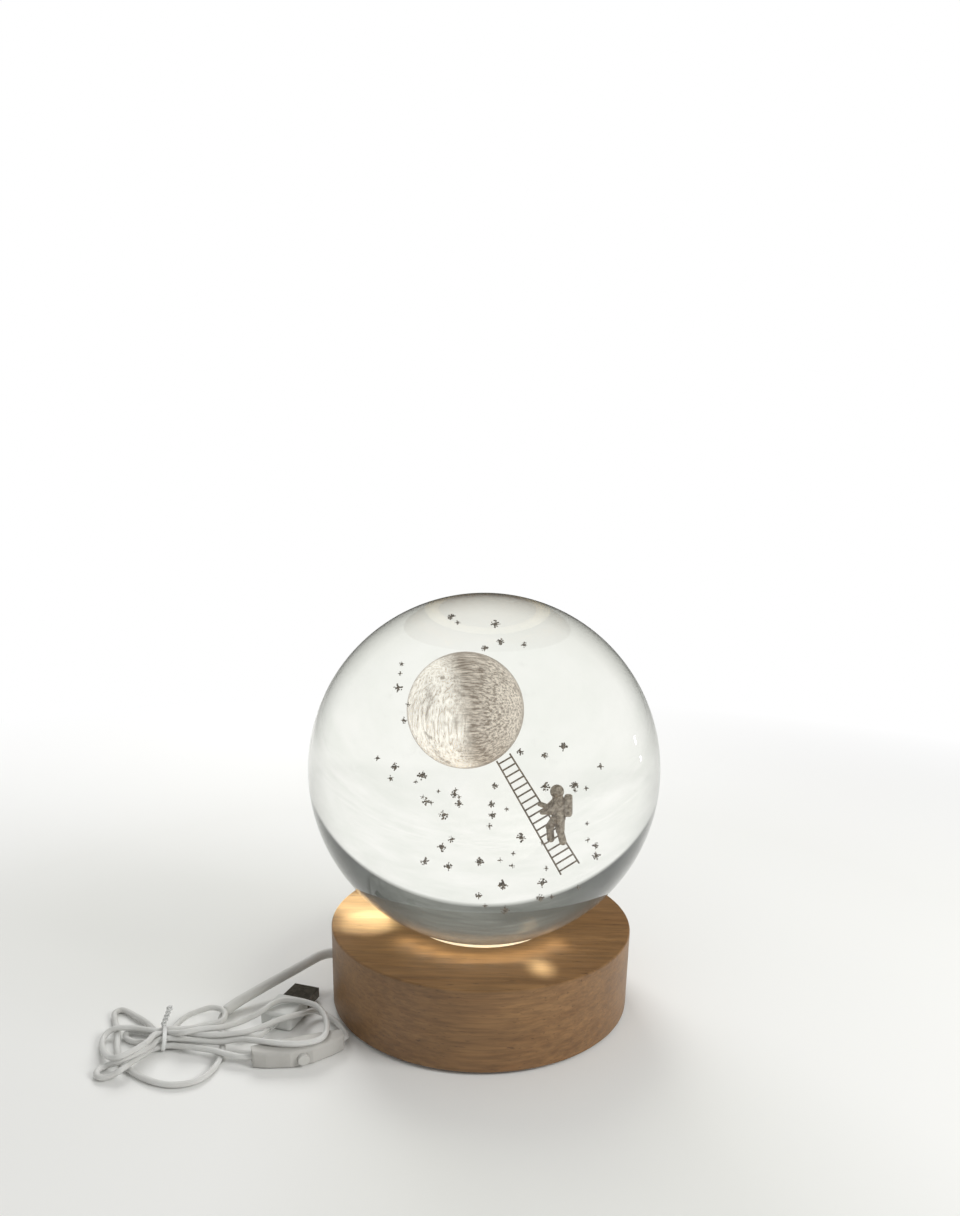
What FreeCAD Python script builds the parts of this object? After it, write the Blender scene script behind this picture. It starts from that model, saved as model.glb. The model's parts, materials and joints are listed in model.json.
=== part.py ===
import FreeCAD
import Part
import Sketcher

import math
import os
import random

# A glass ball lamp: a solid ball with a scene engraved inside it rests on a turned wooden base.
# LEDs under a frosted disc light it from below, and a USB lead with an inline switch feeds them.
# Millimetres. The origin is the centre of the base's underside, on the floor, +Z is up, and the
# lead lies on the floor to the left, at -X.

SIZES = {
    # the glass ball, and how far its lowest point lies below the base's top
    "ball_diameter": 150,
    "ball_sink": 5.6,
    "seat_gap": 0.03,
    # the turned wooden base
    "base_diameter": 134,
    "wood_height": 35.8,
    "edge_round": 0.8,
    "well_diameter": 52,
    "well_depth": 12.5,
    "board_pocket_diameter": 47,
    "board_pocket_depth": 4,
    "web_thickness": 4,
    "wire_hole_diameter": 10,
    "recess_diameter": 82,
    # the soft ring under the ball
    "ring_diameter": 59,
    "ring_section": 3,
    "ring_gap": 0.05,
    # the frosted disc and the LED board
    "disc_thickness": 2,
    "disc_gap": 0.15,
    "board_thickness": 1.6,
    "board_gap": 0.2,
    "board_eye_diameter": 6,
    "chip_count": 6,
    "chip_circle": 25,
    "chip_side": 5,
    "chip_height": 1.4,
    "resistor_circle": 16,
    "resistor_length": 3.2,
    "resistor_width": 1.6,
    "resistor_height": 0.6,
    "board_screw_count": 3,
    "board_screw_circle": 39,
    "board_screw_shank": 2,
    "board_screw_head": 3.6,
    "board_screw_head_height": 1.3,
    "board_screw_grip": 3,
    "screw_gap": 0.05,
    # the cover under the base, its screws and the pads the base stands on
    "cover_edge": 3.5,
    "cover_thickness": 2,
    "cover_gap": 0.2,
    "cover_screw_count": 3,
    "cover_screw_inset": 3.5,
    "cover_screw_shank": 2.5,
    "cover_screw_head": 5.2,
    "cover_screw_head_height": 1.5,
    "cover_screw_grip": 7,
    "pad_count": 4,
    "pad_circle": 115,
    "pad_diameter": 10,
    "pad_thickness": 1.2,
    # where the lead enters the base, counted round from +X, and the clip that holds it inside
    "cord_azimuth": 175,
    "cord_height": 14,
    "cord_diameter": 2.4,
    "cord_gap": 0.05,
    "sleeve_diameter": 4.6,
    "sleeve_gap": 0.05,
    "sleeve_inside": 30,
    "inner_cord_end": 10,
    "clip_position": 26,
    "clip_width": 14,
    "clip_length": 6,
    "clip_below": 1.4,
    "clip_screw_spacing": 9,
    "clip_screw_shank": 1.8,
    "clip_screw_head": 3.2,
    "clip_screw_head_height": 1,
    "clip_screw_grip": 3,
    "lead_diameter": 1,
    "lead_spacing": 1.2,
    "solder_pad_x": 5.2,
    "solder_pad_y": 3.4,
    "solder_diameter": 2.4,
    "solder_height": 0.5,
    # the inline switch, lying on its long side with the button at the front
    "switch_x": -72.5,
    "switch_y": -55.9,
    "switch_turn": 22,
    "switch_length": 36.5,
    "switch_middle": 9,
    "switch_shoulder": 27,
    "switch_front": 8,
    "switch_shoulder_front": 5.2,
    "switch_back": 3.4,
    "switch_end": 2.8,
    "switch_height": 7.2,
    "switch_wall": 0.9,
    "switch_round": 1.3,
    "button_diameter": 4.6,
    "button_offset": 0.6,
    "button_reach": 1.7,
    "button_flange": 5.2,
    "button_flange_thickness": 0.7,
    "button_stem": 2,
    "button_travel": 1,
    "button_gap": 0.08,
    "core_width": 7,
    "core_height": 5.2,
    "core_depth": 5,
    "switch_screw_spacing": 22,
    "switch_boss": 3.4,
    "switch_screw_shank": 1.4,
    "switch_screw_head": 2.6,
    "switch_screw_head_height": 0.8,
    "switch_screw_grip": 2.2,
    "cord_grip": 3,
    # the USB plug, lying flat
    "plug_x": -86.2,
    "plug_y": -37.6,
    "plug_turn": -17,
    "overmold_width": 14.6,
    "overmold_length": 16,
    "overmold_height": 7.8,
    "overmold_round": 1.6,
    "relief_length": 6,
    "relief_diameter": 4.4,
    "shell_width": 12,
    "shell_height": 4.5,
    "shell_reach": 12,
    "shell_inside": 5,
    "shell_wall": 0.3,
    "tongue_thickness": 1.84,
    "tongue_setback": 0.6,
    "contact_count": 4,
    "contact_pitch": 2.3,
    "contact_width": 1,
    "contact_thickness": 0.15,
    "contact_length": 8,
    # the loops of the lead, gathered by a twisted tie
    "hank_height": 7,
    "hank_gap": 0.3,
    "tie_x": -128.9,
    "tie_y": -49.9,
    "tie_turn": 20,
    "tie_inner_width": 12.8,
    "tie_low_z": 1,
    "tie_high_z": 5.8,
    "tie_width": 1.6,
    "tie_thickness": 0.9,
    "tie_tail_diameter": 1.4,
    # the engraving: zones of fine cracks inside the glass, placed from the ball's centre
    "moon_diameter": 34.4,
    "moon_x": -5.9,
    "moon_z": 17.8,
    "ladder_top_x": 5.4,
    "ladder_top_y": 1,
    "ladder_top_z": 3.4,
    "ladder_foot_x": 25.2,
    "ladder_foot_y": -4,
    "ladder_foot_z": -28,
    "ladder_top_width": 4.4,
    "ladder_foot_width": 6.2,
    "ladder_line": 0.5,
    "rung_count": 17,
    "climber_height": 18,
    "climber_x": 21.6,
    "climber_y": -6.2,
    "climber_foot_z": -20.6,
    "star_count": 64,
    "star_spread": 40,
    "star_smallest": 1.3,
    "star_largest": 3.0,
    "star_clearance": 1.2,
}

doc = FreeCAD.newDocument("glass_ball_lamp")
sheet = doc.addObject("Spreadsheet::Sheet", "Sizes")
for row, (alias, amount) in enumerate(SIZES.items(), 1):
    sheet.set(f"A{row}", alias)
    sheet.set(f"B{row}", str(amount))
    sheet.setAlias(f"B{row}", alias)
doc.recompute()

# Lengths and levels that several pieces share, worked out from the sheet.
BALL_RADIUS = "Sizes.ball_diameter / 2"
BASE_RADIUS = "Sizes.base_diameter / 2"
UNDERSIDE = "Sizes.pad_thickness"
BASE_TOP = f"({UNDERSIDE} + Sizes.wood_height)"
LEDGE = f"({BASE_TOP} - Sizes.well_depth)"
SHELF = f"({LEDGE} - Sizes.board_pocket_depth)"
BOARD_TOP = f"({SHELF} + Sizes.board_thickness)"
RECESS_TOP = f"({SHELF} - Sizes.web_thickness)"
COVER_TOP = f"({UNDERSIDE} + Sizes.cover_thickness)"
COVER_SCREW_CIRCLE = "(Sizes.recess_diameter + 2 * Sizes.cover_screw_inset)"
COVER_DIAMETER = f"({COVER_SCREW_CIRCLE} + 2 * Sizes.cover_edge)"
BALL_CENTRE = f"({BASE_TOP} + {BALL_RADIUS} - Sizes.ball_sink)"
RING_REACH = f"({BALL_RADIUS} + Sizes.ring_section / 2 + Sizes.seat_gap)"
RING_CENTRE = f"({BALL_CENTRE} - sqrt({RING_REACH}^2 - (Sizes.ring_diameter / 2)^2))"
REBATE_FLOOR = f"({RING_CENTRE} - Sizes.ring_section / 2 - Sizes.ring_gap / 2)"
REBATE_RADIUS = "(Sizes.ring_diameter / 2 + Sizes.ring_section / 2 + Sizes.ring_gap)"
BASE_TURN = "Sizes.cord_azimuth - 180"
CLIP_BOTTOM = "(Sizes.cord_height - Sizes.cord_diameter / 2 - Sizes.clip_below)"
SWITCH_AXIS = "Sizes.switch_height / 2"
PLUG_AXIS = "Sizes.overmold_height / 2"


def number(expression):
    """The value of an expression over the sheet."""
    return float(sheet.evalExpression(str(expression)))


def bind(item, sizes):
    """Ties properties of a document object to expressions over the sheet."""
    for name, expression in sizes.items():
        item.setExpression(name, str(expression))
    return item


def place(item, x="0", y="0", z="0", turn="0"):
    """Moves an object to x, y, z and turns it about Z, all by expressions."""
    places = {"Base.x": x, "Base.y": y, "Base.z": z, "Rotation.Angle": turn}
    return bind(item, {f"Placement.{key}": value for key, value in places.items() if value != "0"})


# ---- helpers for bodies and their sketches ----


def new_body(name, **placed):
    return place(doc.addObject("PartDesign::Body", name), **placed)


def plane_of(body, role):
    return next(item for item in body.Origin.OriginFeatures if item.Role == role)


def new_sketch(body, plane, name, lift="0"):
    """A sketch on one of the body's own origin planes, lifted along its normal."""
    sketch = body.newObject("Sketcher::SketchObject", name)
    sketch.AttachmentSupport = (plane_of(body, plane), [""])
    sketch.MapMode = "FlatFace"
    if lift != "0":
        sketch.setExpression("AttachmentOffset.Base.z", lift)
    return sketch


def hold(sketch, geometry, end, x, y):
    """Holds a point of a sketch at x, y from the origin."""
    for kind, axis, expression in (("DistanceX", -2, x), ("DistanceY", -1, y)):
        amount = number(expression)
        if abs(amount) < 1e-9:
            sketch.addConstraint(Sketcher.Constraint("PointOnObject", geometry, end, axis))
            continue
        ends = (-1, 1, geometry, end) if amount > 0 else (geometry, end, -1, 1)
        index = sketch.addConstraint(Sketcher.Constraint(kind, *ends, abs(amount)))
        text = f"{expression}" if amount > 0 else f"-({expression})"
        sketch.setExpression(f"Constraints[{index}]", text)


def outline(sketch, corners):
    """A closed outline of straight lines, each corner held by expressions."""
    points = [FreeCAD.Vector(number(x), number(y), 0) for x, y in corners]
    first = sketch.GeometryCount
    for index, point in enumerate(points):
        sketch.addGeometry(Part.LineSegment(point, points[(index + 1) % len(points)]))
    for index, (x, y) in enumerate(corners):
        before = (index - 1) % len(corners)
        sketch.addConstraint(
            Sketcher.Constraint("Coincident", first + before, 2, first + index, 1)
        )
        hold(sketch, first + index, 1, x, y)


def circle(sketch, diameter, x="0", y="0"):
    centre = FreeCAD.Vector(number(x), number(y), 0)
    radius = number(diameter) / 2
    index = sketch.addGeometry(Part.Circle(centre, FreeCAD.Vector(0, 0, 1), radius))
    hold(sketch, index, 3, x, y)
    size = sketch.addConstraint(Sketcher.Constraint("Radius", index, radius))
    sketch.setExpression(f"Constraints[{size}]", f"({diameter}) / 2")


def feature(body, kind, name, sketch, sizes, reverse=False):
    """A feature from a sketch. One that cuts is proved by the volume it takes away."""
    cuts = kind in ("Pocket", "Groove")
    doc.recompute()
    before = body.Shape.Volume if cuts else 0
    item = body.newObject(f"PartDesign::{kind}", name)
    item.Profile = sketch
    item.Reversed = reverse
    bind(item, sizes)
    doc.recompute()
    if cuts and before - body.Shape.Volume < 1e-4:
        raise ValueError(f"{name} cuts nothing")
    return item


def turned(body, kind, name, sketch, axis="V_Axis"):
    item = body.newObject(f"PartDesign::{kind}", name)
    item.Profile = sketch
    item.ReferenceAxis = (sketch, [axis])
    item.Angle = 360
    doc.recompute()
    return item


def repeat_round(body, name, item, count):
    """Copies of a feature round the body's Z axis."""
    pattern = body.newObject("PartDesign::PolarPattern", name)
    pattern.Originals = [item]
    pattern.Axis = (plane_of(body, "Z_Axis"), [""])
    pattern.Angle = 360
    pattern.setExpression("Occurrences", count)
    body.Tip = pattern
    doc.recompute()
    return pattern


def round_edges(body, name, item, radius, wanted):
    """A fillet on the edges of the body that wanted() picks."""
    edges = [f"Edge{i}" for i, edge in enumerate(item.Shape.Edges, 1) if wanted(edge)]
    fillet = body.newObject("PartDesign::Fillet", name)
    fillet.Base = (item, edges)
    fillet.setExpression("Radius", radius)
    body.Tip = fillet
    doc.recompute()
    return fillet


# ---- helpers for primitives and booleans ----


def primitive(kind, name, sizes, **placed):
    return place(bind(doc.addObject(f"Part::{kind}", name), sizes), **placed)


def centred_box(name, length, width, height, x="0", y="0", z="0", turn="0"):
    """A box centred on x, y, standing on z, in a compound that takes the turn."""
    box = doc.addObject("Part::Box", f"{name}_box")
    bind(box, {"Length": length, "Width": width, "Height": height})
    place(box, x=f"({x}) - ({length}) / 2", y=f"({y}) - ({width}) / 2", z=z)
    return place(gather(name, [box]), turn=turn) if turn != "0" else box


def gather(name, items):
    compound = doc.addObject("Part::Compound", name)
    compound.Links = items
    return compound


def join(name, items):
    fusion = doc.addObject("Part::MultiFuse", name)
    fusion.Shapes = items
    return fusion


def take_away(name, base, tool):
    result = doc.addObject("Part::Cut", name)
    result.Base = base
    result.Tool = tool
    return result


# ---- helpers for leads: straight runs joined by tangent arcs ----


def path_of(points, share=0.45):
    """A route as straight runs joined by tangent arcs, with the arcs' radii."""
    points = [FreeCAD.Vector(*point) for point in points]
    edges, radii, start = [], [], points[0]
    for before, corner, after in zip(points, points[1:], points[2:]):
        back, ahead = before - corner, after - corner
        cut = share * min(back.Length, ahead.Length)
        half = (math.pi - back.getAngle(ahead)) / 2
        back.normalize()
        ahead.normalize()
        radius = cut / math.tan(half)
        middle = (back + ahead).normalize()
        inner = corner + middle * (radius / math.cos(half) - radius)
        entry, leave = corner + back * cut, corner + ahead * cut
        edges.append(Part.LineSegment(start, entry).toShape())
        edges.append(Part.Arc(entry, inner, leave).toShape())
        radii.append(round(radius, 1))
        start = leave
    edges.append(Part.LineSegment(start, points[-1]).toShape())
    return Part.Wire(edges), radii


def tube(points, diameter, label=None):
    """A round solid along a route. Its volume is proved by its section and its length."""
    wire, radii = path_of(points)
    along = wire.Edges[0].tangentAt(wire.Edges[0].FirstParameter)
    ring = Part.Wire(Part.Circle(FreeCAD.Vector(*points[0]), along, diameter / 2).toShape())
    solid = wire.makePipe(Part.Face(ring))
    wanted = math.pi * diameter**2 / 4 * wire.Length
    if abs(solid.Volume - wanted) > 0.01 * wanted:
        raise ValueError(f"{label} has volume {solid.Volume}, and {wanted} was wanted")
    if label:
        print(f"{label}: {wire.Length:.1f} mm, bend radii {radii}")
    return solid


def shaped(name, shape):
    """A piece whose shape is worked out from the sheet in place."""
    item = doc.addObject("Part::Feature", name)
    item.Shape = shape
    return item


def turn_point(point, degrees):
    """A point turned about Z."""
    angle = math.radians(degrees)
    x, y, z = point
    return (
        x * math.cos(angle) - y * math.sin(angle),
        x * math.sin(angle) + y * math.cos(angle),
        z,
    )


# ---- the wooden base and what is fixed in it ----


def screw_corners(shank, head, head_height, grip, sunk):
    """Half a screw's outline, with its head's bearing at level 0 and its tip up at grip.
    A sunk head is a cone whose flat lies at level 0."""
    shank, head = f"({shank}) / 2", f"({head}) / 2"
    if sunk:
        return [("0", "0"), (head, "0"), (shank, head_height), (shank, grip), ("0", grip)]
    low = f"-({head_height})"
    return [("0", low), (head, low), (head, "0"), (shank, "0"), (shank, grip), ("0", grip)]


def on_circle(corners, diameter, level, down=False, grow="0"):
    """A screw's outline moved out to a circle of screws, standing on a level."""
    sign = "-" if down else "+"
    centre = f"({diameter}) / 2"
    return [
        (centre if r == "0" else f"{centre} + {r} + {grow}", f"{level} {sign} ({z})")
        for r, z in corners
    ]


def turned_on_circle(body, kind, name, corners, count):
    """A turned shape or hole that stands off the Z axis, and its copies round it."""
    sketch = new_sketch(body, "XZ_Plane", f"{name}_profile")
    outline(sketch, corners)
    line = len(corners)
    ends = [FreeCAD.Vector(number(x), number(z), 0) for x, z in (corners[0], corners[-1])]
    sketch.addGeometry(Part.LineSegment(*ends), True)
    sketch.addConstraint(Sketcher.Constraint("Coincident", line, 1, 0, 1))
    sketch.addConstraint(Sketcher.Constraint("Coincident", line, 2, line - 1, 1))
    doc.recompute()
    item = turned(body, kind, f"{name}_turn", sketch, "Axis0")
    return repeat_round(body, f"{name}_copies", item, count)


BOARD_SCREW = screw_corners(
    "Sizes.board_screw_shank",
    "Sizes.board_screw_head",
    "Sizes.board_screw_head_height",
    "(Sizes.board_thickness + Sizes.board_screw_grip)",
    sunk=False,
)
COVER_SCREW = screw_corners(
    "Sizes.cover_screw_shank",
    "Sizes.cover_screw_head",
    "Sizes.cover_screw_head_height",
    "(Sizes.cover_thickness + Sizes.cover_screw_grip)",
    sunk=True,
)
CLIP_SCREW_TOP = f"({RECESS_TOP} + Sizes.clip_screw_grip)"


def wood_base():
    """Turned from one blank: a well for the ball and the light, a web that carries the
    board, a recess for the lead underneath, and a drilled hole where the lead comes in."""
    body = new_body("wood_base", turn=BASE_TURN)
    sketch = new_sketch(body, "XZ_Plane", "wood_base_profile")
    cover_rebate = f"({COVER_DIAMETER} / 2 + Sizes.cover_gap)"
    well, pocket = "Sizes.well_diameter / 2", "Sizes.board_pocket_diameter / 2"
    wires, recess = "Sizes.wire_hole_diameter / 2", "Sizes.recess_diameter / 2"
    outline(
        sketch,
        [
            (cover_rebate, UNDERSIDE),
            (BASE_RADIUS, UNDERSIDE),
            (BASE_RADIUS, BASE_TOP),
            (REBATE_RADIUS, BASE_TOP),
            (REBATE_RADIUS, REBATE_FLOOR),
            (well, REBATE_FLOOR),
            (well, LEDGE),
            (pocket, LEDGE),
            (pocket, SHELF),
            (wires, SHELF),
            (wires, RECESS_TOP),
            (recess, RECESS_TOP),
            (recess, COVER_TOP),
            (cover_rebate, COVER_TOP),
        ],
    )
    blank = turned(body, "Revolution", "wood_base_turning", sketch)
    rim = number(BASE_RADIUS)
    round_edges(
        body,
        "wood_base_edges",
        blank,
        "Sizes.edge_round",
        lambda edge: abs(edge.BoundBox.XMax - rim) < 0.01 and edge.BoundBox.ZLength < 0.01,
    )

    board_pilot = new_sketch(body, "XY_Plane", "board_pilot_profile", lift=SHELF)
    circle(board_pilot, "Sizes.board_screw_shank + Sizes.screw_gap", "Sizes.board_screw_circle / 2")
    hole = feature(
        body,
        "Pocket",
        "board_pilot",
        board_pilot,
        {"Length": "Sizes.board_screw_grip + Sizes.screw_gap"},
    )
    repeat_round(body, "board_pilots", hole, "Sizes.board_screw_count")

    cover_pilot = new_sketch(body, "XY_Plane", "cover_pilot_profile", lift=COVER_TOP)
    circle(cover_pilot, "Sizes.cover_screw_shank + Sizes.screw_gap", f"{COVER_SCREW_CIRCLE} / 2")
    hole = feature(
        body,
        "Pocket",
        "cover_pilot",
        cover_pilot,
        {"Length": "Sizes.cover_screw_grip + Sizes.screw_gap"},
        reverse=True,
    )
    repeat_round(body, "cover_pilots", hole, "Sizes.cover_screw_count")

    clip_pilot = new_sketch(body, "XY_Plane", "clip_pilot_profile", lift=RECESS_TOP)
    for side in ("", "-"):
        circle(
            clip_pilot,
            "Sizes.clip_screw_shank + Sizes.screw_gap",
            "-Sizes.clip_position",
            f"{side}Sizes.clip_screw_spacing / 2",
        )
    feature(
        body,
        "Pocket",
        "clip_pilots",
        clip_pilot,
        {"Length": "Sizes.clip_screw_grip + Sizes.screw_gap"},
        reverse=True,
    )

    lead_hole = new_sketch(body, "YZ_Plane", "lead_hole_profile")
    circle(lead_hole, "Sizes.sleeve_diameter + 2 * Sizes.sleeve_gap", "0", "Sizes.cord_height")
    feature(body, "Pocket", "lead_hole", lead_hole, {"Length": f"{BASE_RADIUS} + 1"})
    return body


def seat_ring():
    """The clear ring that the ball rests on, loose in its rebate."""
    return primitive(
        "Torus",
        "seat_ring",
        {"Radius1": "Sizes.ring_diameter / 2", "Radius2": "Sizes.ring_section / 2"},
        z=RING_CENTRE,
    )


def diffuser_disc():
    return primitive(
        "Cylinder",
        "diffuser_disc",
        {"Radius": "Sizes.well_diameter / 2 - Sizes.disc_gap", "Height": "Sizes.disc_thickness"},
        z=LEDGE,
    )


def led_board():
    """A round board with an eye for the leads and holes for its screws."""
    body = new_body("led_board", z=SHELF, turn=BASE_TURN)
    sketch = new_sketch(body, "XY_Plane", "led_board_profile")
    circle(sketch, "Sizes.board_pocket_diameter - 2 * Sizes.board_gap")
    circle(sketch, "Sizes.board_eye_diameter")
    feature(body, "Pad", "led_board_plate", sketch, {"Length": "Sizes.board_thickness"})
    holes = new_sketch(body, "XY_Plane", "board_hole_profile", lift="Sizes.board_thickness")
    circle(
        holes, "Sizes.board_screw_shank + 2 * Sizes.screw_gap", "Sizes.board_screw_circle / 2"
    )
    hole = feature(body, "Pocket", "board_hole", holes, {"Length": "Sizes.board_thickness"})
    repeat_round(body, "board_holes", hole, "Sizes.board_screw_count")
    return body


def led_chips():
    """Square LEDs in a circle on the board."""
    body = new_body("led_chips", z=BOARD_TOP, turn=f"{BASE_TURN} + 180 / Sizes.chip_count")
    sketch = new_sketch(body, "XY_Plane", "led_chip_profile")
    middle, half = "Sizes.chip_circle / 2", "Sizes.chip_side / 2"
    near, far = f"{middle} - {half}", f"{middle} + {half}"
    outline(sketch, [(near, f"-{half}"), (far, f"-{half}"), (far, half), (near, half)])
    chip = feature(body, "Pad", "led_chip", sketch, {"Length": "Sizes.chip_height"})
    repeat_round(body, "led_chip_copies", chip, "Sizes.chip_count")
    return body


def board_resistors():
    """Two chip resistors in series with the LEDs."""
    boxes = [
        centred_box(
            f"resistor_{side}",
            "Sizes.resistor_length",
            "Sizes.resistor_width",
            "Sizes.resistor_height",
            y=f"{sign}Sizes.resistor_circle / 2",
        )
        for side, sign in (("left", "-"), ("right", ""))
    ]
    return place(gather("board_resistors", boxes), z=BOARD_TOP, turn=BASE_TURN)


def board_screws():
    body = new_body("board_screws", turn=BASE_TURN)
    corners = on_circle(BOARD_SCREW, "Sizes.board_screw_circle", BOARD_TOP, down=True)
    turned_on_circle(body, "Revolution", "board_screw", corners, "Sizes.board_screw_count")
    return body


def bottom_cover():
    """A thin plate let in flush under the base, with countersunk screw holes."""
    body = new_body("bottom_cover", turn=BASE_TURN)
    sketch = new_sketch(body, "XY_Plane", "bottom_cover_profile", lift=UNDERSIDE)
    circle(sketch, COVER_DIAMETER)
    feature(body, "Pad", "bottom_cover_plate", sketch, {"Length": "Sizes.cover_thickness"})
    corners = on_circle(
        COVER_SCREW, COVER_SCREW_CIRCLE, UNDERSIDE, grow="Sizes.screw_gap"
    )
    turned_on_circle(body, "Groove", "cover_hole", corners, "Sizes.cover_screw_count")
    return body


def cover_screws():
    body = new_body("cover_screws", turn=BASE_TURN)
    corners = on_circle(COVER_SCREW, COVER_SCREW_CIRCLE, UNDERSIDE)
    turned_on_circle(body, "Revolution", "cover_screw", corners, "Sizes.cover_screw_count")
    return body


def foot_pads():
    """Soft round pads under the wood, set between the cover's screws."""
    body = new_body("foot_pads", turn=f"{BASE_TURN} + 45")
    sketch = new_sketch(body, "XY_Plane", "foot_pad_profile")
    circle(sketch, "Sizes.pad_diameter", "Sizes.pad_circle / 2")
    pad = feature(body, "Pad", "foot_pad", sketch, {"Length": "Sizes.pad_thickness"})
    repeat_round(body, "foot_pad_copies", pad, "Sizes.pad_count")
    return body


# ---- the lead inside the base ----


def inside_base(point):
    """A point of the base's own frame, whose lead leaves along -X, in the lamp's frame."""
    return turn_point(point, number(BASE_TURN))


CORD = number("Sizes.cord_diameter")
CORD_LEVEL = number("Sizes.cord_height")
EXIT = inside_base((-number(BASE_RADIUS), 0, CORD_LEVEL))
INNER_END = (-number("Sizes.inner_cord_end"), 0, CORD_LEVEL)
SLEEVE_START = (-number(BASE_RADIUS) + number("Sizes.sleeve_inside"), 0, CORD_LEVEL)


def inner_cord():
    """The lead from the hole in the wood to where its jacket is stripped."""
    return shaped("inner_cord", tube([inside_base(INNER_END), EXIT], CORD, "inner_cord"))


def cord_clip():
    """A block that holds the lead up against the web."""
    body = new_body("cord_clip", turn=BASE_TURN)
    sketch = new_sketch(body, "YZ_Plane", "cord_clip_profile", lift="-Sizes.clip_position")
    half, low = "Sizes.clip_width / 2", CLIP_BOTTOM
    outline(sketch, [(f"-{half}", low), (half, low), (half, RECESS_TOP), (f"-{half}", RECESS_TOP)])
    circle(sketch, "Sizes.cord_diameter + 2 * Sizes.cord_gap", "0", "Sizes.cord_height")
    block = feature(body, "Pad", "cord_clip_block", sketch, {"Length": "Sizes.clip_length / 2"})
    block.SideType = "Symmetric"
    bind(block, {"Length": "Sizes.clip_length"})
    holes = new_sketch(body, "XY_Plane", "clip_hole_profile", lift=RECESS_TOP)
    for side in ("", "-"):
        circle(
            holes,
            "Sizes.clip_screw_shank + 2 * Sizes.screw_gap",
            "-Sizes.clip_position",
            f"{side}Sizes.clip_screw_spacing / 2",
        )
    feature(body, "Pocket", "clip_holes", holes, {"Length": f"{RECESS_TOP} - {CLIP_BOTTOM}"})
    return body


def clip_screws():
    """Two screws up through the clip into the web, their heads under the clip."""
    screws = []
    for side, sign in (("left", "-"), ("right", "")):
        at = {"x": "-Sizes.clip_position", "y": f"{sign}Sizes.clip_screw_spacing / 2"}
        head = primitive(
            "Cylinder",
            f"clip_screw_head_{side}",
            {"Radius": "Sizes.clip_screw_head / 2", "Height": "Sizes.clip_screw_head_height"},
            z=f"{CLIP_BOTTOM} - Sizes.clip_screw_head_height",
            **at,
        )
        shank = primitive(
            "Cylinder",
            f"clip_screw_shank_{side}",
            {"Radius": "Sizes.clip_screw_shank / 2", "Height": f"{CLIP_SCREW_TOP} - {CLIP_BOTTOM}"},
            z=CLIP_BOTTOM,
            **at,
        )
        screws.append(join(f"clip_screw_{side}", [head, shank]))
    return place(gather("clip_screws", screws), turn=BASE_TURN)


def lead_points(side):
    """From the stripped end of the lead, up through the web and the board, to a pad."""
    apart = side * number("Sizes.lead_spacing") / 2
    rest = number(f"{BOARD_TOP} + Sizes.solder_height + Sizes.lead_diameter / 2")
    pad_x, pad_y = number("Sizes.solder_pad_x"), side * number("Sizes.solder_pad_y")
    return [
        inside_base(point)
        for point in (
            (INNER_END[0], apart, CORD_LEVEL),
            (0, apart, CORD_LEVEL),
            (0, apart, rest),
            (pad_x, pad_y, rest),
        )
    ]


def lead_wires():
    """The two insulated cores, soldered beside the board's eye."""
    diameter = number("Sizes.lead_diameter")
    return [
        shaped(name, tube(lead_points(side), diameter, name))
        for name, side in (("lead_wire_red", 1), ("lead_wire_black", -1))
    ]


def solder_joints():
    """A flat bead of solder under each core's end."""
    beads = [
        primitive(
            "Cylinder",
            f"solder_{side}",
            {"Radius": "Sizes.solder_diameter / 2", "Height": "Sizes.solder_height"},
            x="Sizes.solder_pad_x",
            y=f"{sign}Sizes.solder_pad_y",
        )
        for side, sign in (("right", "-"), ("left", ""))
    ]
    return place(gather("solder_joints", beads), z=BOARD_TOP, turn=BASE_TURN)


# ---- the lead outside the base ----

# Out of the hole, slanting straight down to the floor, and round into the loops. The sleeve
# ends a little before the last corner.
SLANT_POINTS = [(-81.9, -1.2, 10.9), (-94.1, -9.6, 6.7), (-113.0, -28.6, 1.9)]
BEND = inside_base((-number(BASE_RADIUS) - 6.0, 0, CORD_LEVEL))
SLANT = [FreeCAD.Vector(*point) for point in SLANT_POINTS]
SLEEVE_ROUTE = [EXIT, BEND, *SLANT[:2], SLANT[1] + (SLANT[2] - SLANT[1]) * 0.78]
LEAD_ROUTE = [EXIT, BEND, *SLANT, (-107.6, -39.8, 1.5)]


def cord_sleeve():
    """The thicker sleeve over the lead's first stretch, from inside the base."""
    outside = [tube(SLEEVE_ROUTE, number("Sizes.sleeve_diameter"), "cord_sleeve")]
    inside = [inside_base(SLEEVE_START), EXIT]
    outside.append(tube(inside, number("Sizes.sleeve_diameter")))
    bore = number("Sizes.cord_diameter + 2 * Sizes.cord_gap")
    hollow = [tube(SLEEVE_ROUTE, bore), tube(inside, bore)]
    return shaped("cord_sleeve", outside[0].fuse(outside[1:]).removeSplitter().cut(hollow))


def cord_to_hank():
    """The lead through the sleeve and on into the loops."""
    return shaped("cord_to_hank", tube(LEAD_ROUTE, CORD, "cord_to_hank"))


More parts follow.
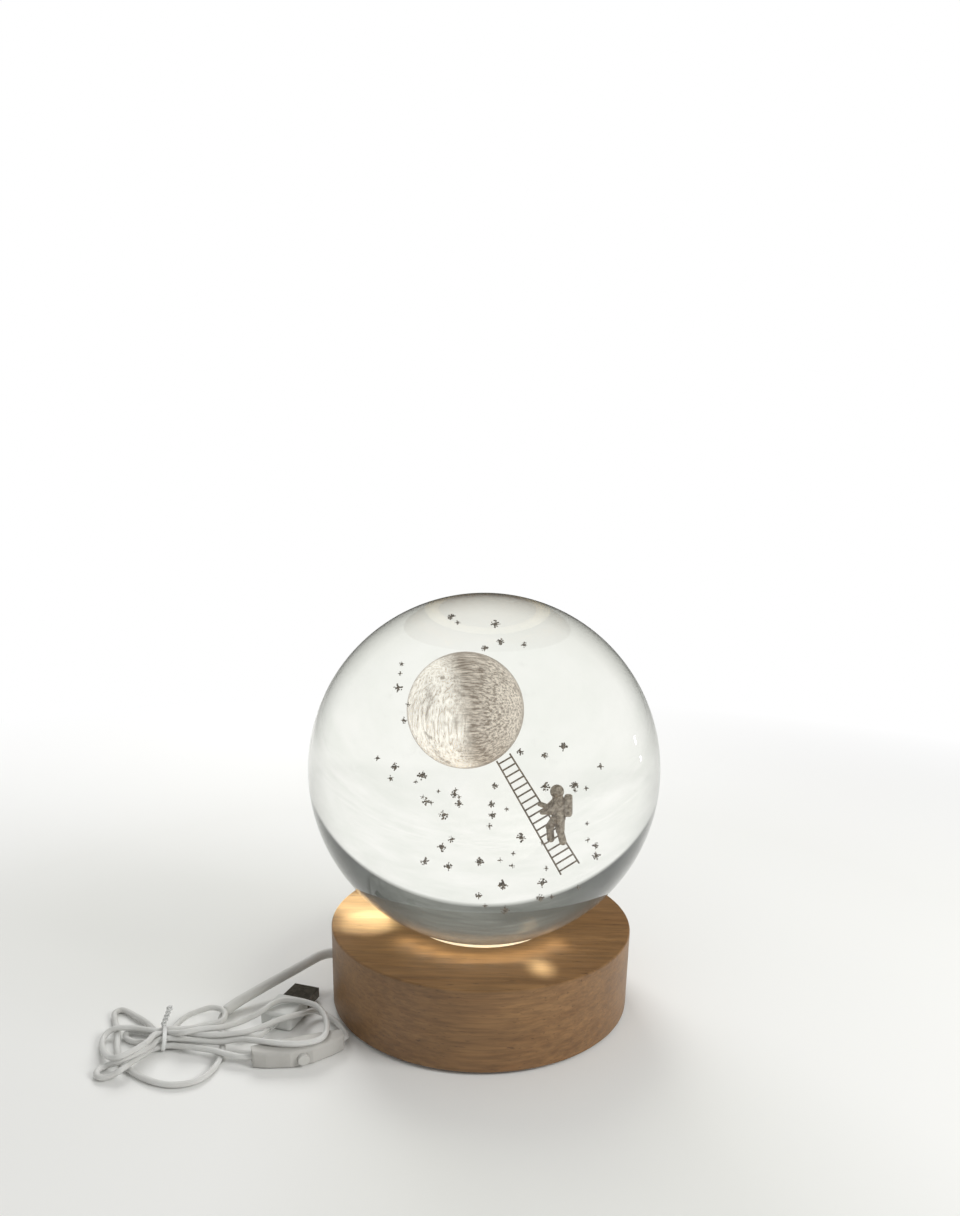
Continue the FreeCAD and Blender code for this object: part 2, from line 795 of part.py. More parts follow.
# The loops seen from above, clockwise from the tie, and the open middle of the lowest loop.
HANK_OUTLINE = [
    (-131, -40.5),
    (-124, -32.5),
    (-116.5, -29),
    (-108.5, -29.5),
    (-105.5, -35.5),
    (-99, -31.5),
    (-91, -19),
    (-83, -14.5),
    (-74, -17.5),
    (-66.5, -27.5),
    (-62.6, -36.5),
    (-65.5, -44.5),
    (-74, -49.5),
    (-86, -52.5),
    (-99, -55.5),
    (-100.8, -64.5),
    (-107, -78),
    (-116, -81.5),
    (-127.5, -78.5),
    (-134, -73),
    (-141, -77.5),
    (-148.5, -76),
    (-150.5, -65),
    (-156, -54),
    (-156, -46),
    (-156, -38),
    (-159.5, -31),
    (-155, -27),
    (-143, -36.5),
]
LOOP_MIDDLE = [
    (-130, -60),
    (-129, -69),
    (-118, -75.5),
    (-109, -72),
    (-104.5, -64),
    (-111, -58.5),
    (-121, -59.5),
]


def rounded_outline(points, share=0.4):
    """A closed flat outline on the floor, each corner an arc as large as its sides allow."""
    points = [FreeCAD.Vector(x, y, 0) for x, y in points]
    edges, count = [], len(points)
    for index, corner in enumerate(points):
        back = points[index - 1] - corner
        ahead = points[(index + 1) % count] - corner
        cut = share * min(back.Length, ahead.Length)
        half = (math.pi - back.getAngle(ahead)) / 2
        entry, leave = corner + back.normalize() * cut, corner + ahead.normalize() * cut
        if half < 0.01:
            edges.append(Part.LineSegment(entry, leave).toShape())
            continue
        middle = (back + ahead).normalize()
        inner = corner + middle * (cut / math.tan(half) * (1 / math.cos(half) - 1))
        edges.append(Part.Arc(entry, inner, leave).toShape())
    sides = []
    for index, edge in enumerate(edges):
        following = edges[(index + 1) % count]
        sides += [edge, Part.LineSegment(edge.Vertexes[-1].Point, following.Vertexes[0].Point).toShape()]
    return Part.Face(Part.Wire(sides))


def on_floor(name, x, y, turn):
    """The placement of the switch or the plug on the floor."""
    return FreeCAD.Placement(
        FreeCAD.Vector(number(x), number(y), 0),
        FreeCAD.Rotation(FreeCAD.Vector(0, 0, 1), number(turn)),
    )


SWITCH_PLACE = on_floor("switch", "Sizes.switch_x", "Sizes.switch_y", "Sizes.switch_turn")
PLUG_PLACE = on_floor("plug", "Sizes.plug_x", "Sizes.plug_y", "Sizes.plug_turn")
TIE_PLACE = on_floor("tie", "Sizes.tie_x", "Sizes.tie_y", "Sizes.tie_turn")


def keep_out(low, high, placement):
    """A block of room, grown by the hank's gap, that the loops leave to another piece."""
    gap = number("Sizes.hank_gap")
    low = FreeCAD.Vector(*low) - FreeCAD.Vector(gap, gap, gap)
    high = FreeCAD.Vector(*high) + FreeCAD.Vector(gap, gap, gap)
    room = Part.makeBox(high.x - low.x, high.y - low.y, high.z - low.z, low)
    room.Placement = placement
    return room


def cord_hank():
    """The outer shape of the gathered loops, necked where the tie holds them."""
    height = number("Sizes.hank_height")
    loops = rounded_outline(HANK_OUTLINE).cut(rounded_outline(LOOP_MIDDLE))
    solid = loops.Faces[0].extrude(FreeCAD.Vector(0, 0, height))
    width, length = number("Sizes.overmold_width"), number("Sizes.overmold_length")
    relief = number("Sizes.relief_length")
    wide = number("Sizes.relief_diameter")
    plug = keep_out((-width / 2, 0, 0), (width / 2, length + 20, height), PLUG_PLACE)
    tail = keep_out((-wide / 2, -relief, 0), (wide / 2, 0, height), PLUG_PLACE)
    half, front = number("Sizes.switch_length") / 2, number("Sizes.switch_front")
    back = number("Sizes.switch_back")
    switch = keep_out((-half, -front, 0), (half, back, height), SWITCH_PLACE)
    solid = solid.cut([plug, tail, switch])
    across, tie_width = number("Sizes.tie_inner_width"), number("Sizes.tie_width")
    low_z, high_z = number("Sizes.tie_low_z"), number("Sizes.tie_high_z")
    corner = FreeCAD.Vector(-tie_width / 2, -across / 2 - 5, -1)
    slice_ = Part.makeBox(tie_width, across + 10, height + 2, corner)
    core = Part.makeBox(
        tie_width, across, high_z - low_z, FreeCAD.Vector(corner.x, -across / 2, low_z)
    )
    slice_.Placement = core.Placement = TIE_PLACE
    solid = solid.cut(slice_.cut(core))
    return shaped("cord_hank", max(solid.Solids, key=lambda piece: piece.Volume))


def twist_tie():
    """A flat coated wire round the neck of the loops, its ends twisted together."""
    thick, deep = "Sizes.tie_thickness", "Sizes.tie_inner_width"
    tall = "(Sizes.tie_high_z - Sizes.tie_low_z)"
    outer = centred_box(
        "tie_outer",
        "Sizes.tie_width",
        f"{deep} + 2 * {thick}",
        f"{tall} + 2 * {thick}",
        z=f"Sizes.tie_low_z - {thick}",
    )
    inner = centred_box("tie_inner", "Sizes.tie_width", deep, tall, z="Sizes.tie_low_z")
    y, z = number(f"{deep} / 4"), number(f"Sizes.tie_high_z + {thick}")
    ends = [(0, y, z), (-0.5, y + 1, z + 3), (-1.5, y + 3, z + 6)]
    tail = shaped("tie_tail", tube(ends, number("Sizes.tie_tail_diameter"), "tie_tail"))
    tie = join("twist_tie", [take_away("tie_band", outer, inner), tail])
    return place(tie, "Sizes.tie_x", "Sizes.tie_y", "0", "Sizes.tie_turn")


# ---- the inline switch ----


def in_switch(name, items):
    """Gathers pieces of the switch's own frame and puts them on the floor."""
    compound = gather(name, items)
    return place(compound, "Sizes.switch_x", "Sizes.switch_y", "0", "Sizes.switch_turn")


def switch_half(name, side):
    """Half of the switch's case, split where the lead runs. side is -1 for the front."""
    body = new_body(
        name, x="Sizes.switch_x", y="Sizes.switch_y", turn="Sizes.switch_turn"
    )
    sign = "-" if side < 0 else ""

    def case_outline(sketch, less):
        half, end = f"(Sizes.switch_length / 2 - {less})", f"{sign}(Sizes.switch_end - {less})"
        shoulder, middle = "Sizes.switch_shoulder / 2", "Sizes.switch_middle / 2"
        if side < 0:
            at_shoulder = f"-(Sizes.switch_shoulder_front - {less})"
            deep = f"-(Sizes.switch_front - {less})"
            far = [(shoulder, at_shoulder), (middle, deep), (f"-{middle}", deep)]
            far.append((f"-{shoulder}", at_shoulder))
        else:
            deep = f"(Sizes.switch_back - {less})"
            far = [(shoulder, deep), (f"-{shoulder}", deep)]
        outline(sketch, [(f"-{half}", "0"), (half, "0"), (half, end)] + far + [(f"-{half}", end)])

    outside = new_sketch(body, "XY_Plane", f"{name}_outline")
    case_outline(outside, "0")
    block = feature(body, "Pad", f"{name}_block", outside, {"Length": "Sizes.switch_height"})
    tip = round_edges(
        body,
        f"{name}_edges",
        block,
        "Sizes.switch_round",
        lambda edge: min(abs(v.Point.y) for v in edge.Vertexes) > 0.01,
    )
    hollow = new_sketch(body, "XY_Plane", f"{name}_hollow_outline", lift="Sizes.switch_wall")
    case_outline(hollow, "Sizes.switch_wall")
    feature(
        body,
        "Pocket",
        f"{name}_hollow",
        hollow,
        {"Length": "Sizes.switch_height - 2 * Sizes.switch_wall"},
        reverse=True,
    )
    bosses = new_sketch(body, "XZ_Plane", f"{name}_boss_profile")
    for way in ("", "-"):
        circle(bosses, "Sizes.switch_boss", f"{way}Sizes.switch_screw_spacing / 2", SWITCH_AXIS)
    boss_length = "Sizes.switch_shoulder_front" if side < 0 else "(Sizes.switch_back - Sizes.switch_wall / 2)"
    feature(
        body, "Pad", f"{name}_bosses", bosses, {"Length": boss_length}, reverse=side > 0
    )
    outside = "(Sizes.switch_length / 2 + 1)"
    for way, lift in (("right", outside), ("left", f"-{outside}")):
        profile = new_sketch(body, "YZ_Plane", f"{name}_{way}_lead_profile", lift=lift)
        circle(profile, "Sizes.cord_diameter + 2 * Sizes.cord_gap", "0", SWITCH_AXIS)
        feature(
            body,
            "Pocket",
            f"{name}_{way}_lead_hole",
            profile,
            {"Length": "Sizes.cord_grip + 1"},
            reverse=way == "left",
        )
    return body, tip


def switch_front_shell():
    """The half with the hole for the button."""
    body, _ = switch_half("switch_front_shell", -1)
    pilots = new_sketch(body, "XZ_Plane", "switch_pilot_profile")
    for way in ("", "-"):
        circle(
            pilots,
            "Sizes.switch_screw_shank + Sizes.screw_gap",
            f"{way}Sizes.switch_screw_spacing / 2",
            SWITCH_AXIS,
        )
    feature(
        body,
        "Pocket",
        "switch_pilots",
        pilots,
        {"Length": "Sizes.switch_screw_grip + Sizes.screw_gap"},
        reverse=True,
    )
    hole = new_sketch(body, "XZ_Plane", "button_hole_profile")
    across = "Sizes.button_diameter + 2 * Sizes.button_gap"
    circle(hole, across, "Sizes.button_offset", SWITCH_AXIS)
    feature(body, "Pocket", "button_hole", hole, {"Length": "Sizes.switch_front + 1"}, reverse=True)
    return body


SCREW_SEAT = "(Sizes.switch_back - Sizes.switch_screw_head_height)"


def switch_back_shell():
    """The half that the screws go in through, each head sunk in its boss."""
    body, _ = switch_half("switch_back_shell", 1)
    for kind, size, start in (
        ("shank", "Sizes.switch_screw_shank + 2 * Sizes.screw_gap", "0"),
        ("head", "Sizes.switch_screw_head + 2 * Sizes.screw_gap", SCREW_SEAT),
    ):
        holes = new_sketch(body, "XZ_Plane", f"switch_{kind}_profile", lift=f"-{start}")
        for way in ("", "-"):
            circle(holes, size, f"{way}Sizes.switch_screw_spacing / 2", SWITCH_AXIS)
        feature(
            body, "Pocket", f"switch_{kind}_holes", holes, {"Length": "Sizes.switch_back"}
        )
    return body


def switch_screws():
    """Two small screws from the back, seen only at their heads."""
    screws = []
    for side, way in (("left", "-"), ("right", "")):
        parts = []
        for kind, radius, length, start in (
            (
                "shank",
                "Sizes.switch_screw_shank / 2",
                f"{SCREW_SEAT} + Sizes.switch_screw_grip",
                "-Sizes.switch_screw_grip",
            ),
            ("head", "Sizes.switch_screw_head / 2", "Sizes.switch_screw_head_height", SCREW_SEAT),
        ):
            piece = doc.addObject("Part::Cylinder", f"switch_screw_{kind}_{side}")
            turn = FreeCAD.Rotation(FreeCAD.Vector(1, 0, 0), -90)
            piece.Placement = FreeCAD.Placement(FreeCAD.Vector(), turn)
            bind(piece, {"Radius": radius, "Height": length})
            place(piece, f"{way}Sizes.switch_screw_spacing / 2", start, SWITCH_AXIS)
            parts.append(piece)
        screws.append(join(f"switch_screw_{side}", parts))
    return in_switch("switch_screws", screws)


CORE_FRONT = "(Sizes.core_depth - Sizes.switch_back + Sizes.switch_wall)"
BUTTON_FACE = "(Sizes.switch_front + Sizes.button_reach)"


def switch_button():
    """A round push button, kept in by its flange behind the case's wall."""
    body = new_body(
        "switch_button", x="Sizes.switch_x", y="Sizes.switch_y", turn="Sizes.switch_turn"
    )
    wall = "(Sizes.switch_front - Sizes.switch_wall)"
    flange_front = f"({wall} - Sizes.button_gap)"
    flange_back = f"({flange_front} - Sizes.button_flange_thickness)"
    stem_end = f"({CORE_FRONT} + Sizes.button_travel + Sizes.button_gap)"
    for name, size, start, end in (
        ("button_stem", "Sizes.button_stem", stem_end, flange_back),
        ("button_flange", "Sizes.button_flange", flange_back, flange_front),
        ("button_cap", "Sizes.button_diameter", flange_front, BUTTON_FACE),
    ):
        sketch = new_sketch(body, "XZ_Plane", f"{name}_profile", lift=start)
        circle(sketch, size, "Sizes.button_offset", SWITCH_AXIS)
        tip = feature(body, "Pad", name, sketch, {"Length": f"{end} - {start}"})
    face = -number(BUTTON_FACE)
    round_edges(
        body,
        "button_edge",
        tip,
        "0.5 * Sizes.button_flange_thickness",
        lambda edge: all(abs(v.Point.y - face) < 0.01 for v in edge.Vertexes),
    )
    return body


def switch_core():
    """The latching contact block behind the button, against the back wall."""
    core = centred_box(
        "switch_core_block",
        "Sizes.core_width",
        "Sizes.core_depth",
        "Sizes.core_height",
        x="Sizes.button_offset",
        y=f"Sizes.core_depth / 2 - {CORE_FRONT}",
        z="Sizes.switch_wall",
    )
    return in_switch("switch_core", [core])


def end_of_switch(side, beyond=0.0):
    """A point on the switch's lead axis, counted out from one end."""
    x = side * (number("Sizes.switch_length") / 2 + beyond)
    return tuple(SWITCH_PLACE.multVec(FreeCAD.Vector(x, 0, number(SWITCH_AXIS))))


def cord_into_switch():
    """The lead from the loops into the switch's left end."""
    grip = number("Sizes.cord_grip")
    route = [
        end_of_switch(-1, -grip),
        end_of_switch(-1, 2.6),
        (-100.0, -61.2, 3.6),
        (-105.0, -59.2, 3.8),
    ]
    return shaped("cord_into_switch", tube(route, CORD, "cord_into_switch"))


def cord_out_of_switch():
    """The lead from the switch's right end, round into the loops."""
    grip = number("Sizes.cord_grip")
    route = [
        end_of_switch(1, -grip),
        end_of_switch(1, 2),
        (-55.8, -43.2, 3.3),
        (-59.2, -37.0, 2.8),
        (-63.2, -31.2, 2.2),
        (-67.8, -27.1, 2.0),
        (-72.0, -26.8, 2.6),
    ]
    return shaped("cord_out_of_switch", tube(route, CORD, "cord_out_of_switch"))


# ---- the USB plug ----

PLUG = {"x": "Sizes.plug_x", "y": "Sizes.plug_y", "turn": "Sizes.plug_turn"}
SHELL_START = "(Sizes.overmold_length - Sizes.shell_inside)"
SHELL_LENGTH = "(Sizes.shell_inside + Sizes.shell_reach)"
SHELL_LOW = f"({PLUG_AXIS} - Sizes.shell_height / 2)"
TONGUE_TOP = f"({SHELL_LOW} + Sizes.shell_wall + Sizes.tongue_thickness)"


def plug_overmold():
    """The moulded grip, with a tapered relief for the lead and a slot for the shell."""
    grip = centred_box(
        "overmold_block",
        "Sizes.overmold_width",
        "Sizes.overmold_length",
        "Sizes.overmold_height",
        y="Sizes.overmold_length / 2",
    )
    doc.recompute()
    rounded = doc.addObject("Part::Fillet", "overmold_rounded")
    rounded.Base = grip
    radius = number("Sizes.overmold_round")
    rounded.Edges = [(index, radius, radius) for index in range(1, len(grip.Shape.Edges) + 1)]
    relief = doc.addObject("Part::Cone", "overmold_relief")
    turn = FreeCAD.Rotation(FreeCAD.Vector(1, 0, 0), 90)
    relief.Placement = FreeCAD.Placement(FreeCAD.Vector(), turn)
    bind(
        relief,
        {
            "Radius1": "Sizes.relief_diameter / 2",
            "Radius2": "Sizes.cord_diameter / 2 + 0.3",
            "Height": "Sizes.relief_length",
        },
    )
    place(relief, "0", "0.01", PLUG_AXIS)
    slot = centred_box(
        "overmold_slot",
        "Sizes.shell_width",
        "Sizes.shell_inside + 1",
        "Sizes.shell_height",
        y=f"{SHELL_START} + (Sizes.shell_inside + 1) / 2",
        z=SHELL_LOW,
    )
    body = take_away("overmold_body", join("overmold_form", [rounded, relief]), slot)
    return place(gather("plug_overmold", [body]), **PLUG)


def plug_shell():
    """The folded steel shell, a straight rectangular tube."""
    body = new_body("plug_shell", **PLUG)
    sketch = new_sketch(body, "XZ_Plane", "plug_shell_profile", lift=f"-({SHELL_START} + {SHELL_LENGTH})")
    for less in ("0", "Sizes.shell_wall"):
        half, tall = f"(Sizes.shell_width / 2 - {less})", f"(Sizes.shell_height / 2 - {less})"
        outline(
            sketch,
            [
                (f"-{half}", f"{PLUG_AXIS} - {tall}"),
                (half, f"{PLUG_AXIS} - {tall}"),
                (half, f"{PLUG_AXIS} + {tall}"),
                (f"-{half}", f"{PLUG_AXIS} + {tall}"),
            ],
        )
    feature(body, "Pad", "plug_shell_tube", sketch, {"Length": SHELL_LENGTH})
    return body


def plug_tongue():
    """The insulating tongue on the shell's floor, a little short of its mouth."""
    tongue = centred_box(
        "plug_tongue_bar",
        "Sizes.shell_width - 2 * Sizes.shell_wall",
        f"{SHELL_LENGTH} - Sizes.tongue_setback",
        "Sizes.tongue_thickness",
        y=f"{SHELL_START} + ({SHELL_LENGTH} - Sizes.tongue_setback) / 2",
        z=f"{SHELL_LOW} + Sizes.shell_wall",
    )
    return place(gather("plug_tongue", [tongue]), **PLUG)


def plug_contacts():
    """Flat springs side by side on the tongue."""
    body = new_body("plug_contacts", **PLUG)
    sketch = new_sketch(body, "XY_Plane", "plug_contact_profile", lift=TONGUE_TOP)
    first = "-(Sizes.contact_count - 1) * Sizes.contact_pitch / 2"
    mouth = f"({SHELL_START} + {SHELL_LENGTH} - 2 * Sizes.tongue_setback)"
    left, right = f"({first} - Sizes.contact_width / 2)", f"({first} + Sizes.contact_width / 2)"
    outline(
        sketch,
        [
            (left, f"{mouth} - Sizes.contact_length"),
            (right, f"{mouth} - Sizes.contact_length"),
            (right, mouth),
            (left, mouth),
        ],
    )
    strip = feature(body, "Pad", "plug_contact", sketch, {"Length": "Sizes.contact_thickness"})
    row = body.newObject("PartDesign::LinearPattern", "plug_contact_copies")
    row.Originals = [strip]
    row.Direction = (plane_of(body, "X_Axis"), [""])
    bind(
        row,
        {
            "Length": "(Sizes.contact_count - 1) * Sizes.contact_pitch",
            "Occurrences": "Sizes.contact_count",
        },
    )
    body.Tip = row
    doc.recompute()
    return body


# ---- the engraving and the ball round it ----


def from_ball_centre(x, y, z):
    return FreeCAD.Vector(x, y, number(BALL_CENTRE) + z)


def engraved_moon():
    return primitive(
        "Sphere",
        "engraved_moon",
        {"Radius": "Sizes.moon_diameter / 2"},
        x="Sizes.moon_x",
        z=f"{BALL_CENTRE} + Sizes.moon_z",
    )


def bar(start, end, thickness):
    """A straight bar of round section between two points."""
    along = end - start
    return Part.makeCylinder(thickness / 2, along.Length, start, along)


def engraved_ladder():
    """Two rails and evenly spaced rungs, leaning from the moon towards the front."""
    top, foot = (
        from_ball_centre(*(number(f"Sizes.ladder_{end}_{axis}") for axis in "xyz"))
        for end in ("top", "foot")
    )
    line, count = number("Sizes.ladder_line"), int(number("Sizes.rung_count"))
    across = (foot - top).cross(FreeCAD.Vector(0, 1, 0)).normalize()
    narrow, wide = number("Sizes.ladder_top_width") / 2, number("Sizes.ladder_foot_width") / 2
    bars = [bar(top + across * (side * narrow), foot + across * (side * wide), line) for side in (-1, 1)]
    for index in range(count):
        share = (index + 0.5) / count
        middle, reach = top + (foot - top) * share, across * (narrow + (wide - narrow) * share)
        bars.append(bar(middle - reach, middle + reach, line))
    return shaped("engraved_ladder", bars[0].fuse(bars[1:]))


def limb(start, end, radius):
    """A rounded limb between two joints."""
    ends = [Part.makeSphere(radius, point) for point in (start, end)]
    return bar(start, end, 2 * radius).fuse(ends)


def engraved_climber():
    """A plain suited figure with a round helmet, one knee up and both hands on a rail."""
    unit = number("Sizes.climber_height") / 18
    foot = from_ball_centre(*(number(f"Sizes.climber_{name}") for name in ("x", "y", "foot_z")))

    def at(x, y, z):
        return foot + FreeCAD.Vector(x, y, z) * unit

    hip, chest, neck = at(0.4, 0, 8.2), at(0.5, 0, 12.0), at(0.2, 0, 13.8)
    left_knee, left_foot = at(-2.2, 0.5, 5.2), at(-1.9, 0.6, 1.7)
    right_knee, right_foot = at(0.9, -0.6, 4.4), at(1.7, -0.4, 1.1)
    left_elbow, left_hand = at(-2.7, 0.8, 11.0), at(-5.2, 0.9, 11.9)
    right_elbow, right_hand = at(-1.9, -1.5, 10.1), at(-4.4, -0.8, 9.8)
    pieces = [
        limb(hip, chest, 2.1 * unit),
        limb(chest, neck, 1.7 * unit),
        limb(at(-0.5, 0.5, 8.0), left_knee, 1.25 * unit),
        limb(left_knee, left_foot, 1.1 * unit),
        limb(at(1.0, -0.4, 7.6), right_knee, 1.3 * unit),
        limb(right_knee, right_foot, 1.1 * unit),
        limb(at(-0.8, 0.6, 12.9), left_elbow, 0.95 * unit),
        limb(left_elbow, left_hand, 0.75 * unit),
        limb(at(-0.2, -1.0, 12.7), right_elbow, 0.95 * unit),
        limb(right_elbow, right_hand, 0.75 * unit),
        Part.makeSphere(2.05 * unit, at(-0.1, 0, 15.95)),
    ]
    pack = Part.makeBox(2.4 * unit, 3.6 * unit, 6.4 * unit, at(2.0, -1.8, 8.6))
    pack = pack.makeFillet(0.8 * unit, pack.Edges)
    return shaped("engraved_climber", pieces[0].fuse(pieces[1:] + [pack]))


def engraved_stars(others):
    """Small bursts scattered round the moon and the ladder, clear of both and of each other."""
    draw = random.Random(11)
    gap = number("Sizes.star_clearance")
    small, large = number("Sizes.star_smallest") / 2, number("Sizes.star_largest") / 2
    spread = number("Sizes.star_spread")
    taken = Part.makeCompound([item.Shape for item in others])
    moon = from_ball_centre(number("Sizes.moon_x"), 0, number("Sizes.moon_z"))
    stars = []
    while len(stars) < int(number("Sizes.star_count")):
        angle, reach = draw.uniform(0, 2 * math.pi), math.sqrt(draw.random())
        x = 2 + 0.82 * spread * reach * math.cos(angle) - 0.18 * spread * reach * math.sin(angle)
        z = 2 + spread * 1.08 * reach * math.sin(angle)
        point = from_ball_centre(x, draw.uniform(-0.25, 0.25) * spread, z)
        radius = draw.uniform(small, large)
        if z > 0 and draw.random() < 0.45:
            continue
        if any(point.distanceToPoint(other) < radius + size + gap for other, size in stars):
            continue
        if point.distanceToPoint(moon) < number("Sizes.moon_diameter") / 2 + radius + gap:
            continue
        if Part.Vertex(point).distToShape(taken)[0] < radius + gap:
            continue
        stars.append((point, radius))
    return shaped("engraved_stars", Part.makeCompound([Part.makeSphere(r, p) for p, r in stars]))


def crystal_ball(engraving):
    """The solid glass ball, hollow only where it is engraved."""
    glass = primitive("Sphere", "glass_blank", {"Radius": BALL_RADIUS}, z=BALL_CENTRE)
    return take_away("crystal_ball", glass, gather("engraved_zones", engraving))


# ---- the lamp ----


def build():
    pieces = [
        wood_base(),
        seat_ring(),
        diffuser_disc(),
        led_board(),
        led_chips(),
        board_resistors(),
        board_screws(),
        bottom_cover(),
        cover_screws(),
        foot_pads(),
        inner_cord(),
        cord_clip(),
        clip_screws(),
        *lead_wires(),
        solder_joints(),
        cord_sleeve(),
        cord_to_hank(),
        cord_hank(),
        twist_tie(),
        switch_front_shell(),
        switch_back_shell(),
        switch_core(),
        switch_screws(),
        switch_button(),
        cord_into_switch(),
        cord_out_of_switch(),
        plug_overmold(),
        plug_shell(),
        plug_tongue(),
        plug_contacts(),
    ]
    doc.recompute()
    engraving = [engraved_moon(), engraved_ladder(), engraved_climber()]
    doc.recompute()
    engraving.append(engraved_stars(engraving))
    return pieces + engraving + [crystal_ball(engraving)]


def main():
    pieces = build()
    doc.recompute()
    for item in doc.Objects:
        if {"Invalid", "Error"} & set(item.State):
            raise ValueError(f"{item.Label} failed: {item.State}")
    for piece in pieces:
        if piece.Shape.isNull() or not piece.Shape.isValid():
            raise ValueError(f"{piece.Label} has no valid shape")
    os.makedirs("parts", exist_ok=True)
    for piece in pieces:
        piece.Shape.exportStep(f"parts/{piece.Label}.step")
    print(f"{len(pieces)} pieces written")


main()
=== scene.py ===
import json
import math
import random

import bmesh
import bpy
from mathutils import Matrix, Vector


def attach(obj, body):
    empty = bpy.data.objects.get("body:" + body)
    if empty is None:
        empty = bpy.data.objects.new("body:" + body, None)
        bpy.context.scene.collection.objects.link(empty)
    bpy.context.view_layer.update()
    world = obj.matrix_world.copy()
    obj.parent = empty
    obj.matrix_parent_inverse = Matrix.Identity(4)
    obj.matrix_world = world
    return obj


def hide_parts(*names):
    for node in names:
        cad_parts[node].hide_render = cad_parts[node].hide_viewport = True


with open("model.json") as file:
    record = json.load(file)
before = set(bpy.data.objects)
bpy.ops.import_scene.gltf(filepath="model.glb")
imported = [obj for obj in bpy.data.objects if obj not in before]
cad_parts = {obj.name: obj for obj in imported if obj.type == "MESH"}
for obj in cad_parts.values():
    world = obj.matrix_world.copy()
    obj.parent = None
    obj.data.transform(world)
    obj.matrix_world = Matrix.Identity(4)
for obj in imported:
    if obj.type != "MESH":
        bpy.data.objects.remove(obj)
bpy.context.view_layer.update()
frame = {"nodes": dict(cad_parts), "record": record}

MM = 0.001
PHOTO_WIDTH, PHOTO_HEIGHT = 960, 1216

BALL_RADIUS = 75 * MM
BALL_CENTRE = Vector((0, 0, 106.4)) * MM
MOON_CENTRE = BALL_CENTRE + Vector((-5.9, 0, 17.8)) * MM
LEAD_DIAMETER = 2.4 * MM
SLEEVE_DIAMETER = 4.6 * MM
SLEEVE_END = Vector((-111.4, -28.6, 2.5)) * MM
SLEEVE_MOUTH = 1.2 * MM
BASE_TOP = 37 * MM


# ---- camera ----

EYE = Vector((0, -361.8, 205.0)) * MM
FOCAL_PIXELS = 864
MIDDLE_PIXELS = (484.2, 769.05)
ROLL = math.radians(1.24)


def place_camera():
    camera = bpy.data.cameras.new("photo_camera")
    camera.lens = FOCAL_PIXELS / PHOTO_HEIGHT * camera.sensor_width
    camera.shift_x = (PHOTO_WIDTH / 2 - MIDDLE_PIXELS[0]) / PHOTO_HEIGHT
    camera.shift_y = (MIDDLE_PIXELS[1] - PHOTO_HEIGHT / 2) / PHOTO_HEIGHT
    camera.clip_start, camera.clip_end = 0.01, 20
    seat = bpy.data.objects.new("photo_camera", camera)
    look = (BALL_CENTRE - EYE).to_track_quat("-Z", "Y").to_matrix().to_4x4()
    seat.matrix_world = Matrix.Translation(EYE) @ look @ Matrix.Rotation(ROLL, 4, "Z")
    bpy.context.scene.collection.objects.link(seat)
    bpy.context.scene.camera = seat


# ---- colours ----


def srgb(red, green, blue):
    """A colour written in the 0 to 255 steps of a screen, as the shader needs it."""
    steps = (value / 255 for value in (red, green, blue))
    return tuple(v / 12.92 if v <= 0.04045 else ((v + 0.055) / 1.055) ** 2.4 for v in steps)


PALE_CRACK = srgb(240, 237, 229)
GREY_CRACK = srgb(182, 174, 164)
BROWN_CRACK = srgb(111, 101, 91)
FAR_CRACK = srgb(196, 189, 179)
GLASS_TINT = srgb(253, 253, 250)
GLASS_CLEAR = srgb(255, 255, 253)
# Painted shade: the darker tone the glass takes towards its outline, in place of reflections.
GLASS_PAINTED_BORDER = srgb(148, 150, 146)
GLASS_SHADOW = srgb(225, 226, 220)
# Painted reflection: mottle that only rays through the glass see, in place of faint reflections inside the
# ball.
PAINTED_MOTTLE_LOW = srgb(243, 245, 240)
PAINTED_MOTTLE_HIGH = srgb(255, 255, 252)
WHITE = (1, 1, 1)


# ---- shader pieces ----


def add(tree, kind, settings=(), **sockets):
    """A node with its settings; each named socket is set to a value or joined to another node's output."""
    node = tree.nodes.new("ShaderNode" + kind)
    for name, value in dict(settings).items():
        setattr(node, name, value)
    set_inputs(tree, node, sockets)
    return node


def set_inputs(tree, node, values):
    for name, value in values.items():
        give(tree, node.inputs[name.replace("_", " ")], value)


def give(tree, socket, value):
    """Joins a socket to an output, or sets its own value; a colour gets its fourth number."""
    if isinstance(value, bpy.types.NodeSocket):
        tree.links.new(value, socket)
    elif hasattr(socket.default_value, "__len__") and len(value) == 3 and len(socket.default_value) == 4:
        socket.default_value = (*value, 1)
    else:
        socket.default_value = value


def math_node(tree, operation, first, second=0.0, third=0.0):
    node = tree.nodes.new("ShaderNodeMath")
    node.operation = operation
    for socket, value in zip(node.inputs, (first, second, third)):
        give(tree, socket, value)
    return node.outputs[0]


def blend_colors(tree, factor, first, second, mode="MIX"):
    node = tree.nodes.new("ShaderNodeMix")
    node.data_type, node.blend_type = "RGBA", mode
    for index, value in ((0, factor), (6, first), (7, second)):
        give(tree, node.inputs[index], value)
    return node.outputs[2]


def mixed(tree, factor, first, second):
    """One shader turning into another as the factor rises."""
    node = add(tree, "MixShader", Fac=factor)
    tree.links.new(first, node.inputs[1])
    tree.links.new(second, node.inputs[2])
    return node.outputs[0]


def spread(tree, value, low, high, to_low=0.0, to_high=1.0):
    """A value carried from one range onto another, held at both ends."""
    node = add(tree, "MapRange", Value=value, From_Min=low, From_Max=high, To_Min=to_low, To_Max=to_high)
    return node.outputs[0]


def noise(tree, place, scale, detail=3.0, roughness=0.5):
    node = add(tree, "TexNoise", Vector=place, Scale=scale, Detail=detail, Roughness=roughness)
    return node.outputs["Fac"]


